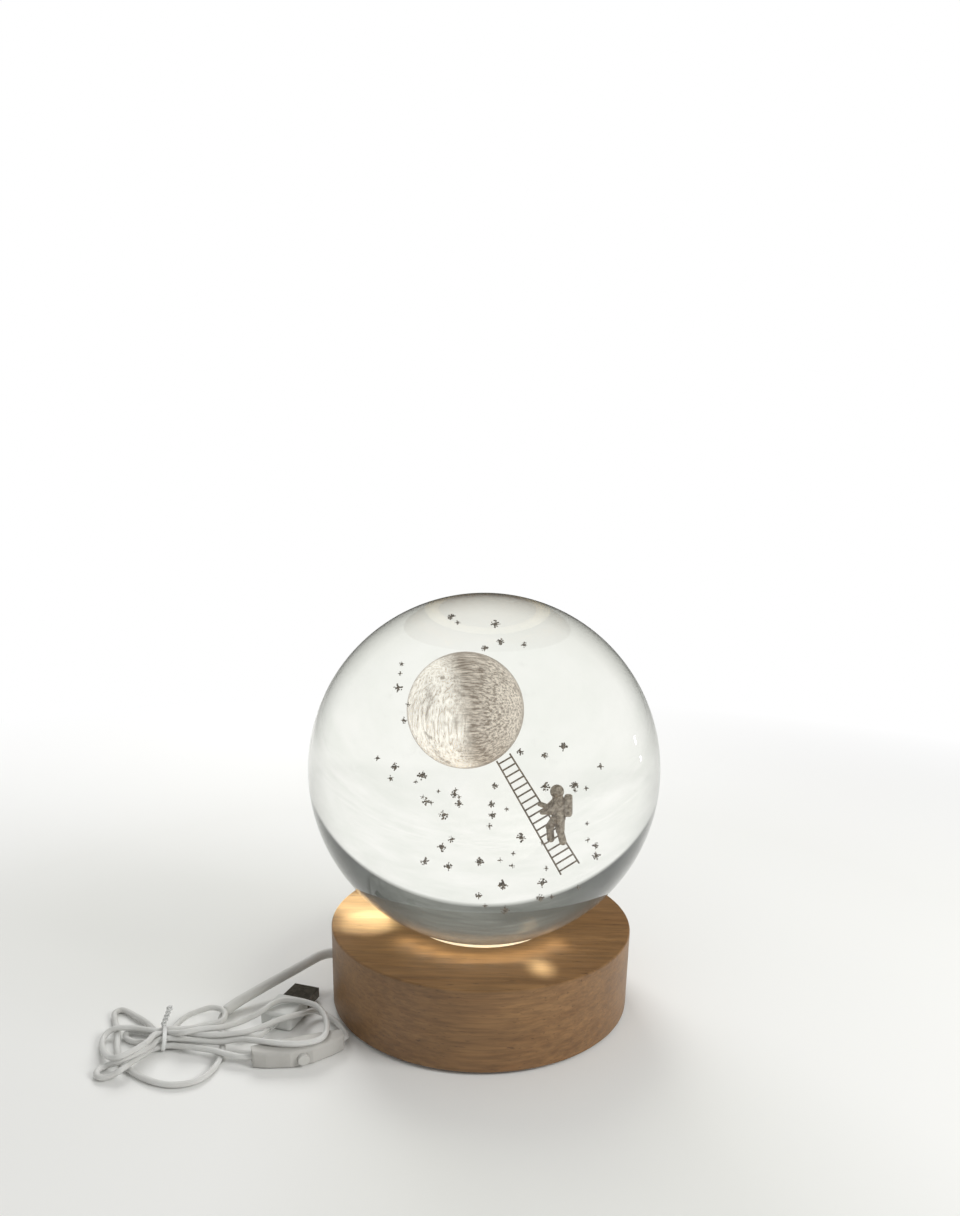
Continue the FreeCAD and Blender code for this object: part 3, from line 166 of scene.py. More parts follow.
def stretched(tree, place, scale, location=(0, 0, 0), rotation=(0, 0, 0)):
    node = add(tree, "Mapping", Vector=place, Location=location, Rotation=rotation, Scale=scale)
    return node.outputs[0]


def new_group(name, inputs, outputs):
    tree = bpy.data.node_groups.new(name, "ShaderNodeTree")
    for label, value in inputs:
        kind = "NodeSocketColor" if isinstance(value, tuple) else "NodeSocketFloat"
        socket = tree.interface.new_socket(label, in_out="INPUT", socket_type=kind)
        socket.default_value = (*value, 1) if isinstance(value, tuple) else value
    for label, kind in outputs:
        tree.interface.new_socket(label, in_out="OUTPUT", socket_type="NodeSocket" + kind)
    given = tree.nodes.new("NodeGroupInput").outputs
    made = tree.nodes.new("NodeGroupOutput").inputs
    place = tree.nodes.new("ShaderNodeTexCoord").outputs["Object"]
    return tree, given, made, place


def use_group(tree, group, **sockets):
    node = tree.nodes.new("ShaderNodeGroup")
    node.node_tree = group
    set_inputs(tree, node, sockets)
    return node.outputs


FINISH_OUTPUTS = (("Color", "Color"), ("Roughness", "Float"), ("Height", "Float"))


def moulded_skin():
    """Plastic from a mould: a faint cloudiness of colour and a fine eggshell surface."""
    tree, given, made, place = new_group(
        "moulded_skin",
        (("Color", (0.5, 0.5, 0.5)), ("Shade", (0.4, 0.4, 0.4)), ("Roughness", 0.4), ("Grain", 900.0)),
        FINISH_OUTPUTS,
    )
    cloud = noise(tree, place, 60, 4, 0.6)
    fine = noise(tree, place, given["Grain"], 2)
    handled = spread(tree, cloud, 0.35, 0.7)
    color = blend_colors(tree, handled, given["Color"], given["Shade"])
    tree.links.new(color, made["Color"])
    smoothest = math_node(tree, "SUBTRACT", given["Roughness"], 0.08)
    rough = math_node(tree, "MULTIPLY_ADD", cloud, 0.16, smoothest)
    tree.links.new(rough, made["Roughness"])
    tree.links.new(fine, made["Height"])
    return tree


def turned_grain():
    """Lacquered hardwood with its grain along X: growth bands, fine fibres and short dark pores."""
    tree, given, made, place = new_group(
        "turned_grain",
        (
            ("Early", (0.5, 0.4, 0.3)),
            ("Late", (0.3, 0.2, 0.1)),
            ("Pore", (0.1, 0.08, 0.05)),
            ("Roughness", 0.45),
        ),
        FINISH_OUTPUTS,
    )
    drift = noise(tree, stretched(tree, place, (7, 60, 70)), 1.0, 4, 0.6)
    bands = add(
        tree,
        "TexWave",
        dict(wave_type="RINGS", rings_direction="X", wave_profile="SIN"),
        Vector=stretched(tree, place, (0.35, 1, 1), (0, 0.012, 0.055)),
        Scale=62.0,
        Distortion=5.5,
        Detail=3.0,
        Detail_Scale=1.2,
        Detail_Roughness=0.6,
    ).outputs["Fac"]
    fibres = noise(tree, stretched(tree, place, (22, 620, 760)), 1.0, 3, 0.65)
    pores = noise(tree, stretched(tree, place, (110, 1300, 1500)), 1.0, 2, 0.5)
    pore_mask = spread(tree, pores, 0.64, 0.74)
    patches = noise(tree, stretched(tree, place, (14, 40, 60)), 1.0, 3, 0.6)
    dashes = noise(tree, stretched(tree, place, (48, 420, 900)), 1.0, 3, 0.6)
    late = math_node(tree, "MULTIPLY", spread(tree, bands, 0.2, 1.0, 0, 0.25), spread(tree, drift, 0.3, 0.7))
    late = math_node(tree, "ADD", late, spread(tree, drift, 0.4, 0.75, 0, 0.45))
    color = blend_colors(tree, late, given["Early"], given["Late"])
    fibre_tone = blend_colors(tree, spread(tree, fibres, 0.3, 0.7), (0.8, 0.78, 0.76), (1.12, 1.1, 1.06))
    color = blend_colors(tree, 0.75, color, fibre_tone, "MULTIPLY")
    patch_tone = blend_colors(tree, spread(tree, patches, 0.35, 0.65), (0.84, 0.82, 0.8), (1.08, 1.06, 1.04))
    color = blend_colors(tree, 0.8, color, patch_tone, "MULTIPLY")
    dash_tone = blend_colors(tree, spread(tree, dashes, 0.38, 0.62), (0.8, 0.79, 0.78), (1.16, 1.15, 1.13))
    color = blend_colors(tree, 0.7, color, dash_tone, "MULTIPLY")
    color = blend_colors(tree, math_node(tree, "MULTIPLY", pore_mask, 0.7), color, given["Pore"])
    tree.links.new(color, made["Color"])
    rough = math_node(tree, "ADD", given["Roughness"], math_node(tree, "MULTIPLY", fibres, 0.18))
    tree.links.new(rough, made["Roughness"])
    height = math_node(tree, "SUBTRACT", math_node(tree, "MULTIPLY", fibres, 0.5), pore_mask)
    tree.links.new(height, made["Height"])
    return tree


def drawn_metal():
    """Rolled or turned metal: faint lines along X, small stains and a little wear."""
    tree, given, made, place = new_group(
        "drawn_metal",
        (("Color", (0.5, 0.5, 0.5)), ("Stain", (0.3, 0.3, 0.3)), ("Roughness", 0.3)),
        FINISH_OUTPUTS,
    )
    lines = noise(tree, stretched(tree, place, (300, 4000, 4000)), 1.0, 2)
    stains = noise(tree, place, 420, 4, 0.65)
    color = blend_colors(tree, spread(tree, stains, 0.42, 0.75), given["Color"], given["Stain"])
    tree.links.new(color, made["Color"])
    rough = math_node(tree, "ADD", given["Roughness"], math_node(tree, "MULTIPLY", stains, 0.2))
    tree.links.new(rough, made["Roughness"])
    tree.links.new(lines, made["Height"])
    return tree


def laser_cracks():
    """The tiny cracks that a laser leaves in glass: a dust of dark points with bright flecks between."""
    tree, given, made, place = new_group(
        "laser_cracks",
        (("Light", (0.5, 0.5, 0.5)), ("Dark", (0.2, 0.2, 0.2)), ("Scale", 2600.0), ("Cover", 0.8)),
        (("Color", "Color"), ("Alpha", "Float")),
    )
    points = noise(tree, place, given["Scale"], 2, 0.7)
    flecks = noise(tree, place, 900, 3, 0.7)
    color = blend_colors(tree, spread(tree, flecks, 0.35, 0.68), given["Dark"], given["Light"])
    tree.links.new(color, made["Color"])
    alpha = spread(tree, math_node(tree, "ADD", points, given["Cover"]), 0.95, 1.35)
    tree.links.new(alpha, made["Alpha"])
    return tree


def blank_material(name):
    material = bpy.data.materials.new(name)
    material.use_nodes = True
    tree = material.node_tree
    tree.nodes.clear()
    skin = tree.nodes.new("ShaderNodeBsdfPrincipled")
    out = tree.nodes.new("ShaderNodeOutputMaterial")
    tree.links.new(skin.outputs[0], out.inputs["Surface"])
    return material, tree, skin, out


def finish(name, group, bump, depth, given, **plain):
    """A material from one of the finish groups, with plain values set on the shader itself."""
    material, tree, skin, _ = blank_material(name)
    made = use_group(tree, group, **given)
    tree.links.new(made["Color"], skin.inputs["Base Color"])
    tree.links.new(made["Roughness"], skin.inputs["Roughness"])
    relief = add(tree, "Bump", Strength=bump, Distance=depth, Height=made["Height"])
    tree.links.new(relief.outputs[0], skin.inputs["Normal"])
    set_inputs(tree, skin, plain)
    return material


def moulded(name, color, shade, rough, bump=0.15, **plain):
    given = dict(Color=color, Shade=shade, Roughness=rough)
    return finish(name, GROUPS["skin"], bump, 0.00006, given, **plain)


def metal(name, color, stain, rough, **plain):
    given = dict(Color=color, Stain=stain, Roughness=rough)
    return finish(name, GROUPS["metal"], 0.2, 0.00003, given, Metallic=1.0, **plain)


def cracked(name, light, dark, cover, scale=2600.0):
    """Cracked zones in the glass, for the thin lines and the small bursts; they glow a little in their own
    colour as painted light.
    """
    material, tree, skin, _ = blank_material(name)
    made = use_group(tree, GROUPS["cracks"], Light=light, Dark=dark, Cover=cover, Scale=scale)
    tree.links.new(made["Color"], skin.inputs["Base Color"])
    # Painted light: the crack colour also feeds the emission, so the lines, figure and stars glow though
    # they are no lamp.
    tree.links.new(made["Color"], skin.inputs["Emission Color"])
    tree.links.new(made["Alpha"], skin.inputs["Alpha"])
    set_inputs(tree, skin, dict(Emission_Strength=0.25, Roughness=0.6))
    return material


def moon_cracks():
    """The engraved moon: a pale side with upright scratches and a dark side with fan-like strokes; it
    darkens to brown towards its outline as painted shade, and it glows a little in its own colour as painted
    light.
    """
    material, tree, skin, _ = blank_material("moon_cracks")
    place = tree.nodes.new("ShaderNodeTexCoord").outputs["Object"]
    centred = stretched(tree, place, (1, 1, 1), tuple(-MOON_CENTRE))
    apart = add(tree, "SeparateXYZ", Vector=centred).outputs
    sway = noise(tree, place, 90, 3, 0.6)
    edge = math_node(tree, "MULTIPLY_ADD", apart["Z"], 0.26, apart["X"])
    edge = math_node(tree, "MULTIPLY_ADD", sway, 0.009, edge)
    dark_side = spread(tree, edge, 0.0005, 0.006)
    upright = noise(tree, stretched(tree, place, (1500, 1500, 130)), 1.0, 3, 0.75)
    strokes = noise(tree, stretched(tree, centred, (190, 1500, 1500), (0, 0, 0), (0, 0.45, 0)), 1.0, 3, 0.75)
    blotches = noise(tree, place, 150, 4, 0.65)
    pale = blend_colors(tree, spread(tree, upright, 0.44, 0.62), PALE_CRACK, GREY_CRACK)
    deep = blend_colors(tree, spread(tree, strokes, 0.4, 0.6), BROWN_CRACK, GREY_CRACK)
    color = blend_colors(tree, dark_side, pale, deep)
    streaks = spread(tree, strokes, 0.4, 0.55, 0.05, 0.6)
    far_side = math_node(tree, "MULTIPLY", spread(tree, edge, 0.0095, 0.018), streaks)
    color = blend_colors(tree, far_side, color, FAR_CRACK)
    color = blend_colors(tree, spread(tree, blotches, 0.54, 0.7, 0, 0.55), color, BROWN_CRACK)
    spots = noise(tree, place, 260, 1, 0.4)
    color = blend_colors(tree, spread(tree, spots, 0.67, 0.73, 0, 0.6), color, BROWN_CRACK)
    # Painted shade: the moon turns brown where its surface turns away from the view.
    painted_edge_shade = add(tree, "LayerWeight", Blend=0.5).outputs["Facing"]
    color = blend_colors(tree, spread(tree, painted_edge_shade, 0.7, 1.0, 0, 0.85), color, BROWN_CRACK)
    tree.links.new(color, skin.inputs["Base Color"])
    tree.links.new(color, skin.inputs["Emission Color"])
    made = use_group(tree, GROUPS["cracks"], Cover=0.92, Scale=2400.0)
    tree.links.new(made["Alpha"], skin.inputs["Alpha"])
    # Painted light: the emission makes the engraving glow in its own colour, though it is no lamp.
    set_inputs(tree, skin, dict(Emission_Strength=0.72, Roughness=0.6))
    return material


def polished_glass():
    """Solid clear glass; light for shading passes through it, so what lies beneath is lit. Its colour
    darkens towards the outline as painted shade, in place of the reflections there.
    """
    material, tree, skin, out = blank_material("polished_glass")
    place = tree.nodes.new("ShaderNodeTexCoord").outputs["Object"]
    swirl = noise(tree, place, 24, 2, 0.4)
    edge = add(tree, "LayerWeight", Blend=0.5).outputs["Facing"]
    body = blend_colors(tree, swirl, GLASS_TINT, GLASS_CLEAR)
    # Painted shade: the glass darkens towards its outline as seen from the view, in place of the reflections
    # there.
    body = blend_colors(tree, spread(tree, edge, 0.55, 1.0), body, GLASS_PAINTED_BORDER)
    tree.links.new(body, skin.inputs["Base Color"])
    relief = add(tree, "Bump", Strength=0.04, Distance=0.0003, Height=swirl)
    tree.links.new(relief.outputs[0], skin.inputs["Normal"])
    set_inputs(tree, skin, dict(Roughness=0.0, IOR=1.5, Transmission_Weight=1.0))
    clear = add(tree, "BsdfTransparent", Color=GLASS_SHADOW)
    shadow = tree.nodes.new("ShaderNodeLightPath").outputs["Is Shadow Ray"]
    surface = mixed(tree, shadow, skin.outputs[0], clear.outputs[0])
    tree.links.new(surface, out.inputs["Surface"])
    return material


GROUPS = {
    "skin": moulded_skin(),
    "wood": turned_grain(),
    "metal": drawn_metal(),
    "cracks": laser_cracks(),
}


def lamp_materials():
    wood = dict(Early=srgb(140, 107, 70), Late=srgb(106, 74, 43), Pore=srgb(74, 52, 34), Roughness=0.4)
    return {
        "turned_wood": finish(
            "turned_beech", GROUPS["wood"], 0.3, 0.0002, wood, Coat_Weight=0.12, Coat_Roughness=0.35
        ),
        "clear_rubber": moulded(
            "clear_silicone_painted_glow", srgb(222, 219, 208), srgb(210, 206, 194), 0.3,
            # Painted light: the clear rubber glows warm, standing in for the LED light leaking through it.
            Emission_Color=srgb(255, 226, 176), Emission_Strength=0.6,
        ),
        "frosted_plastic": moulded(
            "frosted_disc", srgb(240, 236, 224), srgb(233, 228, 214), 0.6,
            Emission_Color=srgb(255, 226, 170), Emission_Strength=1.6,
        ),
        "board_white": moulded("white_board", srgb(230, 231, 228), srgb(218, 219, 215), 0.35),
        "led_yellow": moulded(
            "phosphor_gel", srgb(231, 203, 90), srgb(222, 190, 72), 0.25,
            Emission_Color=srgb(255, 220, 150), Emission_Strength=2.5,
        ),
        "black_plastic": moulded("black_moulding", srgb(40, 41, 44), srgb(33, 34, 36), 0.5),
        "steel": metal("zinc_plate", srgb(172, 174, 176), srgb(120, 121, 120), 0.3),
        "grey_rubber": moulded("foam_pad", srgb(91, 92, 94), srgb(76, 77, 79), 0.85, 0.6),
        "cord_jacket": moulded(
            "white_jacket", srgb(212, 212, 209), srgb(201, 200, 196), 0.36, 0.1,
            Coat_Weight=0.15, Coat_Roughness=0.3,
        ),
        "core_red": moulded("red_core", srgb(179, 35, 29), srgb(160, 30, 25), 0.4),
        "core_black": moulded("black_core", srgb(28, 28, 30), srgb(22, 22, 24), 0.4),
        "solder": metal("bright_solder", srgb(185, 187, 189), srgb(150, 151, 152), 0.15),
        "tie_plastic": moulded(
            "tie_plastic", srgb(232, 233, 231), srgb(216, 217, 215), 0.15, Alpha=0.88
        ),
        "grey_plastic": moulded("satin_grey", srgb(188, 186, 181), srgb(176, 174, 169), 0.38),
        "button_plastic": moulded("button_plastic", srgb(198, 197, 192), srgb(187, 186, 181), 0.36),
        "plug_plastic": moulded("plug_plastic", srgb(206, 207, 204), srgb(196, 197, 193), 0.4),
        "plated_steel": metal("dull_nickel", srgb(128, 122, 112), srgb(92, 87, 79), 0.38),
        "gilt_contacts": metal("gilt_contacts", srgb(201, 164, 76), srgb(170, 130, 60), 0.25),
        "clear_glass": polished_glass(),
        "cracked_glass": cracked("line_cracks", srgb(140, 130, 119), srgb(96, 87, 77), 0.98),
        "moon": moon_cracks(),
        "figure": cracked("figure_cracks", srgb(172, 162, 149), srgb(98, 89, 79), 0.94, 1900.0),
        "star": cracked("star_cracks", srgb(134, 126, 117), srgb(88, 81, 74), 0.86, 3200.0),
    }


# ---- mesh pieces ----


def piece(name, form, slot, material=None, body="base", smooth=True):
    """A finished mesh on its body, with the material of the given slot."""
    mesh = bpy.data.meshes.new(name)
    bmesh.ops.remove_doubles(form, verts=form.verts, dist=1e-7)
    bmesh.ops.recalc_face_normals(form, faces=form.faces)
    for face in form.faces:
        face.smooth = smooth
    form.to_mesh(mesh)
    form.free()
    thing = bpy.data.objects.new(name, mesh)
    bpy.context.scene.collection.objects.link(thing)
    mesh.materials.append(material or MATERIALS[slot])
    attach(thing, body)
    return thing


def frames_along(points, up=Vector((0, 0, 1)), closed=False):
    """A turned frame at each point, carried along without twist."""
    count = len(points)
    frames, last = [], None
    for index, point in enumerate(points):
        before = points[index - 1] if closed or index else point
        after = points[(index + 1) % count] if closed or index < count - 1 else point
        along = (after - before).normalized()
        if last is None:
            turn = Matrix((up.cross(along).normalized(), along.cross(up.cross(along)).normalized(), along))
            turn = turn.transposed()
        else:
            turn = last[1].rotation_difference(along).to_matrix() @ last[0]
        frames.append(Matrix.Translation(point) @ turn.to_4x4())
        last = (turn, along)
    return frames


def swept(form, points, sizes, segments, up=Vector((0, 0, 1)), closed=False):
    """A round or oval tube through the points; sizes gives the two half widths at each."""
    rings = []
    for seat, (across, height) in zip(frames_along(points, up, closed), sizes):
        shape = seat @ Matrix.Diagonal((across, height, 1, 1))
        made = bmesh.ops.create_circle(form, cap_ends=False, segments=segments, radius=1.0, matrix=shape)
        edges = {edge for vertex in made["verts"] for edge in vertex.link_edges}
        rings.append(list(edges))
    pairs = list(zip(rings, rings[1:])) + ([(rings[-1], rings[0])] if closed else [])
    for first, second in pairs:
        bmesh.ops.bridge_loops(form, edges=first + second)
    if not closed:
        bmesh.ops.holes_fill(form, edges=rings[0] + rings[-1], sides=0)


# ---- lead ----

LEAD_ROUTE = (
    (-66.75, 5.84, 14), (-72.72, 6.36, 14), (-81.9, -1.2, 10.9), (-94.1, -9.6, 6.7), (-113, -28.6, 1.9),
    (-107.6, -39.8, 1.5), (-104.4, -51.4, 1.3), (-102.9, -57.3, 1.3), (-102.5, -66.1, 1.3),
    (-105.4, -74.9, 1.3), (-111.9, -78.6, 1.3), (-120.4, -78.2, 1.3), (-130, -73.5, 1.3),
    (-138, -67.6, 1.3), (-143.6, -60.1, 1.3), (-147.4, -51.7, 1.3), (-150.6, -43.1, 1.3),
    (-155.2, -35.2, 1.3), (-158.3, -28.9, 1.35), (-155.3, -26.2, 1.4), (-148.4, -31.2, 1.5),
    (-140.5, -37.1, 1.8), (-133.1, -46, 2.2), (-128.2, -44.2, 2.2), (-125.5, -35.1, 3.7),
    (-120.1, -31.2, 4.5), (-115.4, -28.1, 4.7), (-108.7, -31.3, 4.7), (-107.5, -39.1, 4.5),
    (-113.6, -40.6, 3.5), (-120.4, -43.8, 3.5), (-127.6, -45.8, 4.5), (-132.5, -47.6, 4.5),
    (-134.1, -47.2, 4.4), (-143.1, -44.8, 4.1), (-148.7, -45, 4.2), (-153.4, -45.1, 2.8),
    (-154.5, -50.4, 1.3), (-148.7, -61.2, 2.2), (-139.3, -71.8, 7.2), (-134.6, -66.8, 7.6),
    (-130.4, -61.6, 8.6), (-130.9, -54.6, 7.4), (-130.4, -50.5, 5), (-126.5, -49, 4.7),
    (-119.5, -54.9, 8.4), (-113.2, -51.2, 8.3), (-104.4, -49.8, 8.2), (-98.9, -40.8, 5.6),
    (-92, -38.9, 8.7), (-88.2, -32.7, 9.8), (-82.8, -28.1, 9.3), (-69.6, -32.4, 9.6),
    (-64.3, -40.1, 9.2), (-61.6, -49.2, 9), (-62, -57.5, 8.9), (-69.3, -61.2, 8.8), (-78, -61.2, 8.8),
    (-87.2, -59.3, 8.7), (-96.7, -54.3, 6), (-104.7, -54.6, 4.4), (-114, -53.6, 4.5),
    (-125.3, -52.2, 4.5), (-130.2, -54, 4.5), (-131.1, -58, 3.8), (-134.8, -65.3, 5.2),
    (-138, -70.7, 5.6), (-144.7, -67.1, 1.4), (-147.7, -71.3, 1.6), (-144.6, -75.6, 1.3),
    (-139.9, -75, 2), (-135.2, -73.6, 5), (-135.4, -65.4, 2.2), (-132.3, -57, 1.4),
    (-129.6, -55.6, 2.2), (-124.7, -53.8, 2.2), (-118.6, -55.6, 2.8), (-112.4, -57.1, 3.4),
    (-105, -59.2, 3.8), (-100, -61.2, 3.6), (-91.83, -63.71, 3.6), (-86.64, -61.61, 3.6),
)
TAIL_ROUTE = (
    (-58.36, -50.19, 3.6), (-53.72, -48.31, 3.6), (-55.8, -43.2, 3.3), (-59.2, -37, 2.8),
    (-63.2, -31.2, 2.2), (-67.8, -27.1, 2), (-72, -27.2, 3.6), (-76.2, -36, 6.6), (-79.6, -43.4, 9.7),
    (-84.2, -45.6, 9), (-89.3, -49.1, 8.1), (-94.4, -53, 8.2), (-101, -52.9, 7.2), (-106.6, -53.6, 7.1),
    (-113, -52.5, 6.6), (-120.5, -49.6, 5.1), (-126.6, -47.6, 2.3), (-131.9, -49.2, 2.2),
    (-138.3, -44, 1.7), (-145, -42.4, 1.5), (-147, -46.4, 1.4), (-141.6, -51, 1.3),
    (-135.8, -50.5, 1.5), (-130.8, -52.4, 2.2), (-125.9, -50.6, 2.2), (-116.5, -47.9, 1.9),
    (-107.6, -50, 3.8), (-101.4, -50.2, 4.2), (-94.9, -50.4, 4.8), (-89.9, -49.6, 3.9),
    (-88.1, -43.8, 3.9), (-86.49, -38.56, 3.9),
)


def lead_curve(name, route, diameter):
    """The lead as one open spline through its own control points."""
    curve = bpy.data.curves.new(name, "CURVE")
    curve.dimensions = "3D"
    spline = curve.splines.new("NURBS")
    spline.points.add(len(route) - 1)
    for point, place in zip(spline.points, route):
        point.co = (*(value * MM for value in place), 1)
    spline.order_u = 3
    spline.use_endpoint_u = True
    spline.resolution_u = 10
    curve.bevel_depth = diameter / 2
    curve.bevel_resolution = 5
    curve.use_fill_caps = True
    thing = bpy.data.objects.new(name, curve)
    bpy.context.scene.collection.objects.link(thing)
    return thing


def centreline(cord):
    """Points along a cord's own line."""
    bare = cord.data.copy()
    bare.bevel_depth = 0
    holder = bpy.data.objects.new("bare_line", bare)
    mesh = bpy.data.meshes.new_from_object(holder)
    points = [vertex.co.copy() for vertex in mesh.vertices]
    bpy.data.objects.remove(holder)
    bpy.data.meshes.remove(mesh)
    bpy.data.curves.remove(bare)
    return points


def length_of(points):
    return sum((b - a).length for a, b in zip(points, points[1:]))


def lead():
    """The two lengths of cord, base to switch and switch to plug."""
    cords = []
    for name, route in (("lead_cord", LEAD_ROUTE), ("switch_to_plug_cord", TAIL_ROUTE)):
        cord = lead_curve(name, route, LEAD_DIAMETER)
        cord.data.materials.append(MATERIALS["cord_jacket"])
        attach(cord, "base")
        cords.append(cord)
    first, second = cords
    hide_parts("cord_to_hank", "cord_hank", "cord_into_switch")
    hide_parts("cord_out_of_switch", "cord_hank")
    return first, second


def lead_sleeve(line):
    """Larger tube over the first stretch, its mouth rounded where the cord comes out."""
    last = min(range(len(line)), key=lambda index: (line[index] - SLEEVE_END).length)
    route = line[: last + 1]
    total, run, sizes, half = length_of(route), 0.0, [], SLEEVE_DIAMETER / 2
    for index, point in enumerate(route):
        run += (point - route[index - 1]).length if index else 0.0
        left = total - run
        size = half * (1 - 0.18 * max(0.0, 1 - left / SLEEVE_MOUTH) ** 2)
        sizes.append((size, size))
    form = bmesh.new()
    swept(form, route, sizes, 28)
    sleeve = piece("lead_sleeve", form, "cord_jacket")
    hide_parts("cord_sleeve")
    return sleeve


# ---- tie ----

TIE_CENTRE = Vector((-128.9, -49.9, 3.4)) * MM
TIE_TURN = math.radians(20)
TIE_HALF_WIDTH, TIE_HALF_HEIGHT = 6.9 * MM, 3.1 * MM
BAND_POINTS, BAND_HALVES = 40, (0.28 * MM, 0.85 * MM)
END_POINTS, END_HALVES = 49, (0.5 * MM, 0.4 * MM)
END_TWISTS = 2.6


def twisted_tie():
    """A flat plastic ribbon once round the strands, its two ends twisted together and standing up."""
    across = Vector((-math.sin(TIE_TURN), math.cos(TIE_TURN), 0))
    along = Vector((math.cos(TIE_TURN), math.sin(TIE_TURN), 0))
    loop = []
    for index in range(BAND_POINTS):
        angle = 2 * math.pi * index / BAND_POINTS
        c, s = math.cos(angle), math.sin(angle)
        flat = (abs(c) ** 4 + abs(s) ** 4) ** -0.25
        drift = along * (0.7 * MM * s)
        height = Vector((0, 0, TIE_HALF_HEIGHT * s * flat))
        loop.append(TIE_CENTRE + across * (TIE_HALF_WIDTH * c * flat) + height + drift)
    form = bmesh.new()
    swept(form, loop, [BAND_HALVES] * BAND_POINTS, 12, up=along, closed=True)
    foot = TIE_CENTRE + across * (0.55 * TIE_HALF_WIDTH) + Vector((0, 0, TIE_HALF_HEIGHT))
    tip = foot + across * (4.6 * MM) + along * (3.4 * MM) + Vector((0, 0, 5.6 * MM))
    rise = (tip - foot).normalized()
    side = rise.cross(along).normalized()
    other = rise.cross(side)
    for strand in (0, math.pi):
        route = []
        for index in range(END_POINTS):
            t = index / (END_POINTS - 1)
            angle = strand + 2 * math.pi * END_TWISTS * t
            reach = (0.68 + 4.0 * max(0.0, t - 0.72) ** 1.5) * MM
            out = side * math.cos(angle) + other * math.sin(angle)
            route.append(foot + (tip - foot) * t + out * reach)
        swept(form, route, [END_HALVES] * END_POINTS, 8)
    tie = piece("twisted_tie", form, "tie_plastic")
    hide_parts("twist_tie")
    return tie


# ---- ball ----


def glass_ball():
    form = bmesh.new()
    seat = Matrix.Translation(BALL_CENTRE)
    bmesh.ops.create_icosphere(form, subdivisions=7, radius=BALL_RADIUS, matrix=seat)
    ball = piece("glass_ball", form, "clear_glass", body="ball")
    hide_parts("crystal_ball")
    return ball


def islands(mesh):
    """Middle and reach of each loose part of a mesh."""
    form = bmesh.new()
    form.from_mesh(mesh)
    bmesh.ops.remove_doubles(form, verts=form.verts, dist=1e-6)
    seen, parts = set(), []
    for start in form.verts:
        if start.index in seen:
            continue
        seen.add(start.index)
        stack, places = [start], []
        while stack:
            vertex = stack.pop()
            places.append(vertex.co.copy())
            for edge in vertex.link_edges:
                other = edge.other_vert(vertex)
                if other.index not in seen:
                    seen.add(other.index)
                    stack.append(other)
        low = Vector(tuple(min(p[axis] for p in places) for axis in range(3)))
        high = Vector(tuple(max(p[axis] for p in places) for axis in range(3)))
        parts.append(((low + high) / 2, (high.x - low.x) / 2))
    form.free()
    return parts


def engraved_bursts():
    """Each star as the laser leaves it: a ragged core with short spikes of single points."""
    draw = random.Random(23)
    form = bmesh.new()

    def fleck(place, size):
        angle = draw.uniform(0, math.pi)
        turn = Matrix.Rotation(angle, 4, Vector((draw.random(), draw.random(), 1)).normalized())
        shape = Matrix.Diagonal((size, size * draw.uniform(0.5, 0.9), size, 1))
        seat = Matrix.Translation(place) @ turn @ shape
        bmesh.ops.create_icosphere(form, subdivisions=1, radius=1.0, matrix=seat)

    for middle, reach in islands(frame["nodes"]["engraved_stars"].data):
        small = reach < 1.0 * MM
        fleck(middle, (0.55 if small else 0.48) * reach)
        for arm in range(4):
            angle = math.pi / 2 * arm + draw.uniform(-0.25, 0.25)
            for step in (0.55, 0.85):
                away = Vector((math.cos(angle), draw.uniform(-0.3, 0.3), math.sin(angle)))
                fleck(middle + away * (reach * step), reach * draw.uniform(0.12, 0.24))
        for _ in range(6 if small else 16):
            away = Vector([draw.gauss(0, 0.4) for _ in range(3)])
            away *= min(1.0, 0.85 / max(away.length, 1e-6))
            fleck(middle + away * reach, reach * draw.uniform(0.14, 0.26))
    look = MATERIALS["star"]
    stars = piece("engraved_bursts", form, "cracked_glass", look, body="ball", smooth=False)
    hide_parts("engraved_stars")
    return stars


# ---- stage ----


